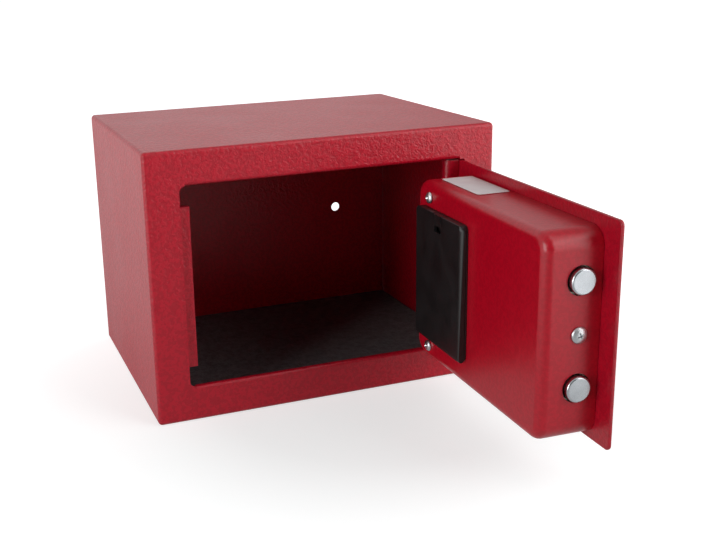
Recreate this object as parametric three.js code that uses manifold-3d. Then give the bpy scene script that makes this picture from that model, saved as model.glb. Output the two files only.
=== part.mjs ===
// Small electronic safe with its door swung open, in millimetres, +Z up.
// Origin: centre of the cabinet's underside. The front opening faces -Y, the hinges are at +X.
// Door pieces are drawn with the door shut and sit in one group that turns on the hinge axis.
import * as THREE from "three";
import { mergeVertices } from "three/addons/utils/BufferGeometryUtils.js";
import Module from "manifold-3d";

const wasm = await Module();
wasm.setup();

// Cabinet
const cabinetWidth = 230;
const cabinetDepth = 170;
const cabinetHeight = 170;
const sheet = 1.2;
const cabinetBend = 2.6;
const weldSeam = 0.3;
const anchorSpacing = 145;
const anchorHeight = 82.7;
const anchorRadius = 3.5;

// Front opening: its upper and lower edges are folded inwards, deeper where they hold the hinge pins
const openingWidth = 188;
const openingHeight = 126;
const openingRise = 0.5;
const openingCorner = 3.5;
const openingHingeCorner = 1.2;
const foldRadius = 2.2;
const foldDepth = 3.4;
const pinTabDepth = 16;
const pinTabReach = 11;

// Strike bar behind the left stile, which the bolts catch
const strikeLength = 100.5;
const strikeThickness = 3;
const strikeReach = 6;
const strikeSeatShare = 0.76;
const strikeStepShare = 0.5;
const strikeRise = 12.5;

// Felt mat
const matThickness = 6.5;
const matMargin = 0.6;
const matCorner = 4;
const matRound = 1;

// Door plate
const doorThickness = 2;
const doorGap = 1;
const doorHingeGap = 2;
const doorCorner = 3;
const doorRound = 0.5;
const restAngle = 87.7;

// Hinges: curled tubes on the door turn on pins riveted in the folded edges
const hingeInset = 7.5;
const hingeSetback = 7;
const pinRadius = 2.5;
const pinHeadRadius = 4;
const pinHeadHeight = 1.2;
const pinLength = 15;
const pinTip = 0.8;
const pinClearance = 0.25;
const curlWall = 1.85;
const curlLength = 18;
const curlSlit = 118;
const washerThickness = 0.7;

// Drawn back cover of the door
const coverWidth = 152;
const coverHeight = 114;
const coverDrop = 1.8;
const coverDepth = 36;
const coverWall = 1;
const coverCorner = 10;
const coverRound = 5.5;
const coverShift = -3.5;
const coverScrewRadius = 2;
const coverScrewHead = 3.6;
const coverScrewDome = 2.2;
const coverScrewSpacing = 96.2;
const coverScrewDrop = 1.9;
const coverScrewInset = 19;
const postRadius = 3;
const sideScrewHead = 4.6;
const sideScrewDome = 2;
const sideScrewLength = 4;

// Bolts and the carriage that carries them
const boltRadius = 7.25;
const boltSpacing = 58.5;
const boltSetback = 14.5;
const boltReach = 3.2;
const boltLength = 24;
const boltChamfer = 0.9;
const boltClearance = 0.9;
const boltTravel = 10;
const carriageThickness = 2;
const carriageBar = 2.5;
const carriageMargin = 9;
const carriageHalf = 7;
const guideGap = 0.3;

// Guide bracket behind the cover's latch side
const bracketWall = 1.5;
const bracketInset = 2.5;
const bracketMargin = 14;
const bracketDepth = 24;
const bracketFoot = 12;

// Knob, spindle and crank
const knobInset = 38;
const knobRadius = 19;
const knobBase = 4;
const knobGripWidth = 11;
const knobGripHeight = 15;
const knobRound = 1.6;
const rosetteRadius = 23;
const rosetteThickness = 2;
const spindleRadius = 4;
const spindleClearance = 0.25;
const bushWall = 1.8;
const bushFlange = 9;
const bushFlangeThickness = 1;
const crankRadius = 10;
const crankThickness = 2;
const crankPinRadius = 2;
const crankSlotPlay = 0.35;
const crankSwing = 30;
const studRadius = 2.2;
const studHeadRadius = 4;
const studHead = 1;
const studSpread = 16;
const studRise = 14.5;

// Solenoid that blocks the carriage
const solenoidWidth = 20;
const solenoidHeight = 22;
const solenoidDepth = 21;
const solenoidWall = 1.5;
const coilRadius = 7.6;
const plungerRadius = 2.5;
const plungerLength = 20;
const plungerNose = 1.5;
const lugWidth = 3;
const lugReach = 7.5;
const lugGap = 1;

// Emergency key lock above the knob
const lockRise = 38;
const lockRadius = 8;
const lockFlangeRadius = 9.5;
const lockFlange = 1.2;
const lockDepth = 22;
const lockNutRadius = 11.5;
const lockNutHeight = 4;
const nutSides = 6;
const plugRadius = 5;
const keywayWidth = 1.4;
const keywayHeight = 6.5;
const keywayDepth = 8;
const camLength = 13;
const camWidth = 8;
const camThickness = 2;
const capRadius = 12.5;
const capDepth = 6;
const capWall = 1.5;
const capRound = 1.2;

// Keypad
const keypadWidth = 64;
const keypadHeight = 96;
const keypadDepth = 8;
const keypadWall = 2;
const keypadCorner = 6;
const keypadRound = 2;
const keypadShift = 36;
const keyColumns = 3;
const keyRows = 4;
const keyPitchX = 17.5;
const keyPitchZ = 17;
const keyWidth = 13.5;
const keyHeight = 12.5;
const keyCorner = 2.2;
const keyRound = 0.7;
const keyProud = 1.6;
const keyLip = 0.8;
const keyLipThickness = 1;
const keyTravel = 1.2;
const keyPlay = 0.3;
const keyFieldDrop = 6;
const ledCount = 3;
const ledRadius = 1.6;
const ledProud = 0.7;
const ledPitch = 13;
const boardThickness = 1.6;

// Circuit board behind the door plate, and its ribbon to the keypad
const circuitWidth = 56;
const circuitHeight = 62;
const circuitShift = 26.9;
const circuitSetback = 8;
const spacerRadius = 2.4;
const chipHeight = 2.4;
const chipSize = 11;
const buzzerRadius = 6;
const ribbonWidth = 12;
const ribbonThickness = 0.6;
const ribbonDrop = 20;
const socketWidth = 14;
const socketHeight = 5.5;

// Battery compartment
const cellRadius = 7;
const cellLength = 49.2;
const cellNubRadius = 2.7;
const cellNubLength = 1.2;
const cellCount = 4;
const cellPitch = 14.3;
const springLength = 6;
const springRadius = 3.6;
const springWire = 0.8;
const springCoils = 3;
const contactThickness = 0.5;
const contactWidth = 9;
const trayWall = 1.2;
const trayPlay = 0.3;
const trayRimThickness = 1;
const batteryCoverWidth = 61;
const batteryCoverHeight = 83;
const batteryCoverProud = 5;
const batteryCoverWall = 2;
const batteryCoverCorner = 4;
const batteryCoverRound = 1.6;
const batteryCoverShift = 32.5;
const batteryCoverDrop = 1.1;
const snapWidth = 12;
const snapSlot = 1;
const snapLength = 7;
const scoopRadius = 7;
const scoopDepth = 1.6;

// Blank sticker on top of the back cover
const stickerLength = 51;
const stickerWidth = 22.5;
const stickerThickness = 0.3;
const stickerShift = 36.6;
const stickerSetback = 1.2;
const stickerCorner = 1.5;

// Clearances shared by fitted pieces, and the overrun of every cut
const fit = 0.3;
const overrun = 1;

// Facets
const arcSteps = 2;
const roundSteps = 2;
const keyRoundSteps = 1;
const drawnSteps = 4;
const turnSteps = 24;
const smallSteps = 12;
const cellSteps = 18;
const coilSteps = 6;
const wireSteps = 2;

// Places worked out from the sizes above; "shut" places are those of the door when closed
const front = -cabinetDepth / 2;
const openingMid = cabinetHeight / 2 + openingRise;
const openingBottom = openingMid - openingHeight / 2;
const openingTop = openingMid + openingHeight / 2;
const stileWidth = (cabinetWidth - openingWidth) / 2;
const hingeX = openingWidth / 2 - hingeInset;
const hingeY = front + hingeSetback;
const doorLeft = -openingWidth / 2 + doorGap;
const doorRight = openingWidth / 2 - doorHingeGap;
const doorMidX = (doorLeft + doorRight) / 2;
const doorHeight = openingHeight - 2 * doorGap;
const doorBottom = openingBottom + doorGap;
const doorRear = front + doorThickness + fit;
const coverX = doorMidX + coverShift;
const coverMid = openingMid - coverDrop;
const coverLeft = coverX - coverWidth / 2;
const coverRight = coverX + coverWidth / 2;
const coverBack = front + coverDepth;
const coverScrewX = coverRight - coverScrewInset;
const coverScrewZ = openingMid - coverScrewDrop;
const boltY = front + boltSetback;
const knobX = coverLeft + knobInset;
const lockZ = openingMid + lockRise;
const keypadX = doorMidX + keypadShift;
const batteryX = doorMidX + batteryCoverShift;
const batteryZ = openingMid - batteryCoverDrop;
const carriageX = coverLeft - boltReach + boltLength;
const crankRest = THREE.MathUtils.degToRad(crankSwing);
const crankPinX = knobX + crankRadius * Math.sin(crankRest);

// Materials
const redPaint = paint(0xb01c2a, 0.45, 0.1);
const black = paint(0x1b1819, 0.5, 0);
const felt = paint(0x1c1a1b, 1, 0);
const steel = paint(0xc8cacf, 0.25, 1);
const zinc = paint(0xa9a8a2, 0.4, 0.9);
const nylon = paint(0xe6e2d6, 0.5, 0);
const brass = paint(0xb89a55, 0.35, 1);
const board = paint(0x2a5b3a, 0.6, 0);
const copper = paint(0x8c4a2a, 0.45, 0.4);
const keyGrey = paint(0xd2d3d4, 0.55, 0);
const lamp = paint(0x8fae6a, 0.2, 0);
const label = paint(0xe4e2de, 0.6, 0);
const cellPaint = paint(0x2d4a6e, 0.35, 0.3);

function paint(color, roughness, metalness) {
  return new THREE.MeshStandardMaterial({ color, roughness, metalness });
}

// Turns a closed geometry into a solid whose shared corners are merged.
function solid(geometry) {
  const bare = new THREE.BufferGeometry();
  bare.setAttribute("position", geometry.getAttribute("position").clone());
  if (geometry.index) bare.setIndex(geometry.index.clone());
  const merged = mergeVertices(bare);
  const corners = [];
  for (let i = 0; i < merged.index.count; i += 3) {
    const [a, b, c] = [merged.index.getX(i), merged.index.getX(i + 1), merged.index.getX(i + 2)];
    if (a !== b && b !== c && c !== a) corners.push(a, b, c);
  }
  const vertProperties = new Float32Array(merged.getAttribute("position").array);
  const triVerts = new Uint32Array(corners);
  return new wasm.Manifold(new wasm.Mesh({ numProp: 3, vertProperties, triVerts }));
}

function geometryOf(manifold) {
  const mesh = manifold.getMesh();
  const geometry = new THREE.BufferGeometry();
  geometry.setAttribute("position", new THREE.BufferAttribute(mesh.vertProperties, 3));
  geometry.setIndex(new THREE.BufferAttribute(mesh.triVerts, 1));
  geometry.computeVertexNormals();
  return geometry;
}

function join(first, ...others) {
  return geometryOf(others.reduce((body, other) => body.add(solid(other)), solid(first)));
}

function cut(first, ...tools) {
  return geometryOf(tools.reduce((body, tool) => body.subtract(solid(tool)), solid(first)));
}

// Outlines
function rounded(width, height, radius, rightRadius = radius) {
  const outline = new THREE.Shape();
  const [left, right, half] = [radius - width / 2, width / 2 - rightRadius, height / 2];
  outline.absarc(right, half - rightRadius, rightRadius, 0, Math.PI / 2);
  outline.absarc(left, half - radius, radius, Math.PI / 2, Math.PI);
  outline.absarc(left, radius - half, radius, Math.PI, 1.5 * Math.PI);
  outline.absarc(right, rightRadius - half, rightRadius, 1.5 * Math.PI, 2 * Math.PI);
  outline.closePath();
  return outline;
}

function polygon(...corners) {
  return new THREE.Shape(corners.map(([x, y]) => new THREE.Vector2(x, y)));
}

function ring(outer, inner) {
  const outline = new THREE.Shape();
  outline.absarc(0, 0, outer, 0, 2 * Math.PI);
  const bore = new THREE.Path();
  bore.absarc(0, 0, inner, 0, 2 * Math.PI, true);
  outline.holes.push(bore);
  return outline;
}

// Extrudes an outline along X, Y or Z between two places; round eases both ends' edges.
const planes = {
  x: [new THREE.Vector3(0, 1, 0), new THREE.Vector3(0, 0, 1), new THREE.Vector3(1, 0, 0)],
  y: [new THREE.Vector3(1, 0, 0), new THREE.Vector3(0, 0, 1), new THREE.Vector3(0, -1, 0)],
  z: [new THREE.Vector3(1, 0, 0), new THREE.Vector3(0, 1, 0), new THREE.Vector3(0, 0, 1)],
};

function slab(outline, axis, from, to, round = 0, steps = arcSteps, bevelSegments = roundSteps) {
  const geometry = new THREE.ExtrudeGeometry(outline, {
    depth: to - from - 2 * round,
    curveSegments: steps,
    bevelEnabled: round > 0,
    bevelThickness: round,
    bevelSize: round,
    bevelOffset: -round,
    bevelSegments,
  });
  geometry.applyMatrix4(new THREE.Matrix4().makeBasis(...planes[axis]));
  const shift = axis === "y" ? to - round : from + round;
  return geometry.translate(axis === "x" ? shift : 0, axis === "y" ? shift : 0, axis === "z" ? shift : 0);
}

function block(width, depth, height) {
  return new THREE.BoxGeometry(width, depth, height);
}

// A turned piece: its profile lists [radius, place along the axis] from end to end.
function turned(profile, axis, steps = turnSteps) {
  const points = profile.map(([radius, distance]) => new THREE.Vector2(radius, distance));
  return along(new THREE.LatheGeometry(points, steps), axis);
}

function along(geometry, axis) {
  if (axis === "z") geometry.rotateX(Math.PI / 2);
  if (axis === "x") geometry.rotateZ(-Math.PI / 2);
  return geometry;
}

function rod(radius, axis, from, to, steps = turnSteps) {
  return turned([[0, from], [radius, from], [radius, to], [0, to]], axis, steps);
}

// A screw head: a low dome whose profile is a quarter ellipse, on a shank.
function screw(headRadius, dome, shankRadius, shankLength, axis) {
  const profile = [[0, -shankLength], [shankRadius, -shankLength], [shankRadius, 0]];
  for (let i = 0; i <= roundSteps; i++) {
    const angle = (i / roundSteps) * (Math.PI / 2);
    profile.push([headRadius * Math.cos(angle), dome * Math.sin(angle)]);
  }
  return turned(profile, axis, smallSteps);
}

function place(group, name, geometry, material, x = 0, y = 0, z = 0) {
  const mesh = new THREE.Mesh(geometry, material);
  mesh.name = name;
  mesh.position.set(x, y, z);
  group.add(mesh);
  return mesh;
}

function moved(geometry, x, y, z) {
  return geometry.translate(x, y, z);
}

const safe = new THREE.Group();

// Cabinet shell: a folded wrap with its front face, opened at the front and the back.
function cabinetShell() {
  const [midZ, back] = [cabinetHeight / 2, -front];
  const rearEnd = back + 2 * cabinetBend;
  const outline = rounded(cabinetWidth, cabinetHeight, cabinetBend + fit);
  const outer = moved(slab(outline, "y", front, rearEnd, cabinetBend), 0, 0, midZ);
  const rearTrim = moved(block(2 * cabinetWidth, 2 * (rearEnd - back), 2 * cabinetHeight), 0, rearEnd, midZ);
  const innerOutline = rounded(
    cabinetWidth - 2 * sheet, cabinetHeight - 2 * sheet, cabinetBend + fit - sheet);
  const inside = moved(slab(innerOutline, "y", front + sheet, rearEnd + overrun), 0, 0, midZ);
  const openingOutline = rounded(openingWidth, openingHeight, openingCorner, openingHingeCorner);
  const opening = slab(openingOutline, "y", front - overrun, front + sheet + overrun);
  const foldWidth = openingWidth - 2 * openingCorner;
  const notch = moved(
    block(foldWidth, 2 * (sheet + overrun), openingHeight + 2 * foldRadius), 0, front, openingMid);
  const shell = cut(outer, rearTrim, inside, moved(opening, 0, 0, openingMid), notch);
  const fold = (depth, from, to) => slab(foldOutline(depth), "x", from, to);
  const edge = () => fold(foldDepth, -foldWidth / 2, foldWidth / 2);
  const lowerTab = fold(pinTabDepth, hingeX - pinTabReach, foldWidth / 2);
  const upperTab = fold(pinTabDepth, -foldWidth / 2, pinTabReach - hingeX);
  const lowerFold = moved(join(edge(), lowerTab), 0, 0, openingBottom);
  const upperFold = moved(join(edge(), upperTab).rotateY(Math.PI), 0, 0, openingTop);
  const pinHole = moved(
    rod(pinRadius + pinClearance, "z", -overrun, openingHeight + 2 * foldRadius + overrun),
    hingeX, hingeY, openingBottom - foldRadius);
  place(safe, "cabinet_shell", cut(join(shell, lowerFold, upperFold), pinHole), redPaint);
}

// Section of a folded edge, below its top face: up the front, round the fold and back inside.
function foldOutline(depth) {
  const inner = foldRadius - sheet;
  const [bendY, bendZ] = [front + foldRadius, -foldRadius];
  const outline = new THREE.Shape();
  outline.moveTo(front, bendZ - sheet);
  outline.lineTo(front, bendZ);
  outline.absarc(bendY, bendZ, foldRadius, Math.PI, Math.PI / 2, true);
  outline.lineTo(front + depth, 0);
  outline.lineTo(front + depth, -sheet);
  outline.absarc(bendY, bendZ, inner, Math.PI / 2, Math.PI, false);
  outline.lineTo(front + sheet, bendZ - sheet);
  outline.closePath();
  return outline;
}

function backPanel() {
  const width = cabinetWidth - 2 * (sheet + weldSeam);
  const height = cabinetHeight - 2 * (sheet + weldSeam);
  const [from, to] = [-front - sheet, -front];
  const panel = moved(
    slab(rounded(width, height, cabinetBend - sheet), "y", from, to), 0, 0, cabinetHeight / 2);
  const hole = (x) => moved(rod(anchorRadius, "y", from - overrun, to + overrun), x, 0, anchorHeight);
  place(safe, "back_panel", cut(panel, hole(-anchorSpacing / 2), hole(anchorSpacing / 2)), redPaint);
}

function floorMat() {
  const width = cabinetWidth - 2 * (sheet + matMargin);
  const length = cabinetDepth - 2 * (sheet + matMargin);
  const bottom = sheet + fit;
  const mat = slab(rounded(width, length, matCorner), "z", bottom, bottom + matThickness, matRound);
  place(safe, "floor_mat", mat, felt);
}

// Strike bar: seated on the rear of the left stile, rebated where the door plate stops against it.
function strikeBar() {
  const stile = -openingWidth / 2;
  const outerEdge = stile - strikeSeatShare * (stileWidth - sheet);
  const step = stile - strikeStepShare * (stile - outerEdge);
  const [seat, stop] = [front + sheet, front + doorThickness + fit + fit / 2];
  const back = stop + strikeThickness;
  const outline = polygon(
    [outerEdge, seat], [step, seat], [step, stop],
    [stile + strikeReach, stop], [stile + strikeReach, back], [outerEdge, back]);
  const bottom = openingBottom + strikeRise;
  place(safe, "strike_bar", slab(outline, "z", bottom, bottom + strikeLength), redPaint);
}

// Pin riveted in a folded edge, with its head outside the opening; the lower one is its mirror.
function hingePins() {
  const headTop = sheet + pinHeadHeight;
  const profile = [
    [0, -pinLength], [pinRadius - pinTip, -pinLength], [pinRadius, -pinLength + pinTip],
    [pinRadius, sheet], [pinHeadRadius, sheet], [pinHeadRadius, sheet + pinHeadHeight / 2],
    [pinHeadRadius - pinTip, headTop], [0, headTop]];
  const pin = () => turned(profile, "z");
  const washer = () => slab(
    ring(pinHeadRadius, pinRadius + pinClearance), "z", 0, washerThickness, 0, turnSteps / 2);
  place(safe, "hinge_pin_upper", pin(), zinc, hingeX, hingeY, openingTop);
  place(safe, "hinge_pin_lower", pin().rotateX(Math.PI), zinc, hingeX, hingeY, openingBottom);
  place(safe, "hinge_washer_upper", washer(), nylon, hingeX, hingeY, openingTop - washerThickness);
  place(safe, "hinge_washer_lower", washer(), nylon, hingeX, hingeY, openingBottom);
}

cabinetShell();
backPanel();
floorMat();
strikeBar();
hingePins();

// The door turns on the hinge axis; inside it, places are those of the shut door.
const door = new THREE.Group();
door.position.set(hingeX, hingeY, 0);
door.rotation.z = THREE.MathUtils.degToRad(restAngle);
safe.add(door);
const shut = new THREE.Group();
shut.position.set(-hingeX, -hingeY, 0);
door.add(shut);

function doorPlate() {
  const outline = rounded(doorRight - doorLeft, doorHeight, doorCorner);
  const rear = front + doorThickness;
  const plate = moved(slab(outline, "y", front, rear, doorRound), doorMidX, 0, openingMid);
  const hole = (radius, x, z) => moved(rod(radius, "y", front - overrun, rear + overrun), x, 0, z);
  const ribbonSlot = moved(
    block(ribbonWidth + 2 * overrun, 2 * (doorThickness + overrun), ribbonThickness + 2 * overrun),
    keypadX, front, openingMid - ribbonDrop);
  place(shut, "door_plate", cut(plate,
    hole(spindleRadius + spindleClearance + bushWall + fit, knobX, openingMid),
    hole(lockRadius + fit, knobX, lockZ), ribbonSlot), redPaint);
}

// Hinge tube: a strip curled round the pin, its straight leg welded to the door plate.
function hingeTubes() {
  const bore = pinRadius + pinClearance;
  const outer = bore + curlWall;
  const end = THREE.MathUtils.degToRad(-curlSlit);
  const outline = new THREE.Shape();
  const root = doorRear - hingeY;
  outline.moveTo(-outer, root);
  outline.lineTo(-outer, 0);
  outline.absarc(0, 0, outer, Math.PI, end, true);
  outline.absarc(0, 0, bore, end, Math.PI, false);
  outline.lineTo(-bore, root);
  outline.closePath();
  const tube = () => slab(outline, "z", 0, curlLength, 0, turnSteps / 2);
  place(shut, "hinge_tube_upper", tube(), redPaint, hingeX, hingeY, openingTop - doorGap - curlLength);
  place(shut, "hinge_tube_lower", tube(), redPaint, hingeX, hingeY, doorBottom);
}

// Back cover: drawn from one sheet, its back edges rounded, with windows for what passes through.
function backCover() {
  const [from, to] = [doorRear, coverBack];
  const start = from - 2 * coverRound;
  const drawn = (inset) => slab(
    rounded(coverWidth - 2 * inset, coverHeight - 2 * inset, coverCorner - inset), "y",
    start, to - inset, coverRound - inset, drawnSteps, drawnSteps);
  const mouth = moved(block(2 * coverWidth, 2 * (from - start), 2 * coverHeight), 0, start, 0);
  const side = (radius, z) => moved(
    rod(radius, "x", -overrun, 2 * coverWall + overrun),
    coverLeft - coverX - coverWall / 2, boltY, z + coverDrop);
  const rear = (z) => moved(
    rod(coverScrewRadius + fit, "y", -coverWall - overrun, overrun),
    coverScrewX - coverX, to, z + coverScrewZ - coverMid);
  const windowOutline = rounded(trayWidth() + 2 * trayPlay, trayHeight() + 2 * trayPlay, trayWall);
  const window = moved(
    slab(windowOutline, "y", to - coverWall - overrun, to + overrun),
    batteryX - coverX, 0, batteryZ - coverMid);
  const boltHole = boltRadius + boltClearance;
  const cover = cut(drawn(0), drawn(coverWall), mouth,
    side(boltHole, boltSpacing / 2), side(boltHole, -boltSpacing / 2), side(coverScrewRadius + fit, 0),
    rear(coverScrewSpacing / 2), rear(-coverScrewSpacing / 2), window);
  place(shut, "door_back_cover", cover, redPaint, coverX, 0, coverMid);
}

function coverFasteners() {
  const end = coverBack - coverWall - 3 * fit;
  const length = end - doorRear;
  const post = () => cut(
    rod(postRadius, "y", -length, 0, smallSteps),
    rod(coverScrewRadius + fit, "y", -coverDepth / 3, overrun, smallSteps));
  const head = () => screw(coverScrewHead, coverScrewDome, coverScrewRadius, coverDepth / 4, "y");
  for (const [name, side] of [["upper", 1], ["lower", -1]]) {
    const z = coverScrewZ + side * coverScrewSpacing / 2;
    place(shut, `cover_post_${name}`, post(), zinc, coverScrewX, end, z);
    place(shut, `cover_screw_${name}`, head(), steel, coverScrewX, coverBack + fit, z);
  }
  const side = screw(sideScrewHead, sideScrewDome, coverScrewRadius, sideScrewLength, "x").rotateZ(Math.PI);
  place(shut, "side_screw", side, steel, coverLeft - fit, boltY, openingMid);
}

function sticker() {
  const outline = rounded(stickerLength, stickerWidth, stickerCorner);
  const [x, y] = [doorMidX + stickerShift, doorRear + stickerSetback + stickerWidth / 2];
  const z = coverMid + coverHeight / 2 + fit;
  place(shut, "blank_sticker", slab(outline, "z", 0, stickerThickness), label, x, y, z);
}

doorPlate();
hingeTubes();
backCover();
coverFasteners();
sticker();

// Bolts, each turned with a chamfered nose, and the carriage that pushes both.
function bolts() {
  const end = boltLength - fit;
  const profile = [
    [0, 0], [boltRadius - boltChamfer, 0], [boltRadius, boltChamfer], [boltRadius, end], [0, end]];
  for (const [name, side] of [["bolt_upper", 1], ["bolt_lower", -1]]) {
    const z = openingMid + side * boltSpacing / 2;
    place(shut, name, turned(profile, "x"), steel, coverLeft - boltReach, boltY, z);
  }
}

function carriage() {
  const height = boltSpacing + 2 * carriageMargin;
  const bar = moved(block(carriageBar, 2 * carriageHalf, height), carriageX + carriageBar / 2, 0, 0);
  const studSlot = studX(1) + boltTravel + studRadius + 2 * guideGap;
  const reach = studSlot + carriageThickness - carriageX;
  const [lowest, highest] = [carriageFoot(), studRise + 2 * studHeadRadius];
  const tongue = moved(
    block(reach, carriageThickness, highest - lowest), carriageX + reach / 2, 0, (highest + lowest) / 2);
  const lug = moved(
    block(lugWidth, carriageThickness, lugReach + carriageThickness),
    plungerX() + plungerRadius + lugGap + lugWidth / 2, 0, lowest - (lugReach - carriageThickness) / 2);
  const through = (outline) => slab(outline, "y", -overrun - carriageThickness, overrun + carriageThickness);
  const slotWidth = 2 * (crankPinRadius + crankSlotPlay);
  const rise = crankRadius * (1 - Math.cos(crankRest));
  const crankSlot = moved(
    through(rounded(slotWidth, slotWidth + rise, slotWidth / 2 - crankSlotPlay)),
    crankPinX, 0, -crankRadius + rise / 2);
  const guide = 2 * (studRadius + guideGap);
  const guideLength = studSlot - studX(0) + studRadius + guideGap;
  const guideSlot = moved(
    through(rounded(guideLength, guide, guide / 2 - guideGap)), studSlot - guideLength / 2, 0, studRise);
  const plate = cut(join(bar, tongue, lug), crankSlot, guideSlot);
  place(shut, "bolt_carriage", plate, zinc, 0, boltY, openingMid);
}

function carriageFoot() {
  return -crankRadius - crankPinRadius - 2 * carriageThickness;
}

function studX(index) {
  return knobX + (index - 1 / 2) * studSpread;
}

function plungerX() {
  return knobX - boltTravel / 4;
}

// Guide bracket: folded sheet with the bolts' bearing holes, its foot on the door plate.
function boltBracket() {
  const x = coverLeft + coverWall + bracketInset;
  const height = boltSpacing + 2 * bracketMargin;
  const wall = moved(block(bracketWall, bracketDepth, height), bracketWall / 2, bracketDepth / 2, 0);
  const foot = moved(block(bracketFoot, bracketWall, height), bracketFoot / 2, bracketWall / 2, 0);
  const hole = (radius, z) => moved(
    rod(radius, "x", -overrun, bracketWall + overrun), 0, boltY - doorRear, z);
  const bracket = cut(join(wall, foot),
    hole(boltRadius + guideGap, boltSpacing / 2), hole(boltRadius + guideGap, -boltSpacing / 2),
    hole(coverScrewRadius + fit, 0));
  place(shut, "bolt_bracket", bracket, zinc, x, doorRear, openingMid);
}

// Knob: a round base with a tapered grip across it.
function knob() {
  const seat = front - fit - rosetteThickness - fit;
  const profile = [
    [0, 0], [knobRadius - knobRound, 0], [knobRadius, knobRound], [knobRadius, knobBase], [0, knobBase]];
  const base = moved(turned(profile, "y"), 0, -knobBase, 0);
  const gripOutline = rounded(2 * knobRadius - knobBase, knobGripWidth, knobGripWidth / 2 - fit);
  const grip = moved(slab(gripOutline, "y", -knobGripHeight, 0, knobRound), 0, -knobBase + knobRound, 0);
  place(shut, "turning_knob", join(base, grip.rotateY(crankRest)), black, knobX, seat, openingMid);
  const bore = spindleRadius + spindleClearance;
  const disc = (radius, hole, from, to) => slab(ring(radius, hole), "y", from, to, 0, turnSteps / 2);
  const rosetteFront = front - fit - rosetteThickness;
  const rosette = disc(rosetteRadius, bore + fit, rosetteFront, rosetteFront + rosetteThickness);
  place(shut, "knob_rosette", rosette, black, knobX, 0, openingMid);
  spindle(seat + fit);
  const flangeEnd = doorRear + bushFlangeThickness;
  const sleeve = disc(bore + bushWall, bore, front, flangeEnd);
  const bush = join(sleeve, disc(bushFlange, bore, doorRear, flangeEnd));
  place(shut, "spindle_bush", bush, nylon, knobX, 0, openingMid);
}

// Spindle with its crank arm and crank pin, which drives the carriage through its slot.
function spindle(from) {
  const arm = doorRear + bushFlangeThickness + fit;
  const shaft = rod(spindleRadius, "y", from, arm + crankThickness);
  const webOutline = rounded(2 * spindleRadius, crankRadius + 2 * spindleRadius, spindleRadius - fit);
  const web = moved(slab(webOutline, "y", arm, arm + crankThickness), 0, 0, -crankRadius / 2);
  const pin = moved(
    rod(crankPinRadius, "y", arm, boltY + carriageThickness, smallSteps), 0, 0, -crankRadius);
  const crank = join(shaft, join(web, pin).rotateY(-crankRest));
  place(shut, "knob_spindle", crank, steel, knobX, 0, openingMid);
}

// Guide strip: two headed studs on a welded strip, which keep the carriage level.
function guideStrip() {
  const stud = (index) => {
    const [from, neck] = [doorRear, boltY + carriageThickness / 2 + guideGap];
    const end = neck + studHead;
    const profile = [
      [0, from], [studRadius, from], [studRadius, neck], [studHeadRadius, neck],
      [studHeadRadius, end], [0, end]];
    return moved(turned(profile, "y", smallSteps), studX(index), 0, openingMid + studRise);
  };
  const strip = moved(
    block(studSpread + 2 * studHeadRadius, bracketWall, 2 * studHeadRadius),
    knobX, doorRear + bracketWall / 2, openingMid + studRise);
  place(shut, "guide_strip", join(strip, stud(0), stud(1)), zinc);
}

bolts();
carriage();
boltBracket();
knob();
guideStrip();

// Solenoid: a folded frame, its coil and the plunger that rises behind the carriage's lug.
function solenoid() {
  const nose = openingMid + carriageFoot() - lugReach - lugGap;
  const bottom = nose - plungerNose - solenoidHeight;
  const base = moved(
    block(solenoidWidth, solenoidWall, solenoidHeight), 0, solenoidWall / 2, solenoidHeight / 2);
  const arm = (z) => moved(block(solenoidWidth, solenoidDepth, solenoidWall), 0, solenoidDepth / 2, z);
  const [lower, upper] = [arm(solenoidWall / 2), arm(solenoidHeight - solenoidWall / 2)];
  const clear = plungerRadius + fit;
  const bore = moved(
    rod(clear, "z", -overrun, solenoidHeight + overrun, smallSteps), 0, boltY - doorRear, 0);
  const frame = cut(join(base, upper, lower), bore);
  place(shut, "solenoid_frame", frame, zinc, plungerX(), doorRear, bottom);
  const seat = solenoidWall + fit;
  const coil = slab(ring(coilRadius, clear), "z", seat, solenoidHeight - seat, 0, turnSteps / 2);
  place(shut, "solenoid_coil", coil, copper, plungerX(), boltY, bottom);
  const plunger = rod(plungerRadius, "z", -plungerLength, 0, smallSteps);
  place(shut, "solenoid_plunger", plunger, steel, plungerX(), boltY, nose);
}

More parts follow.
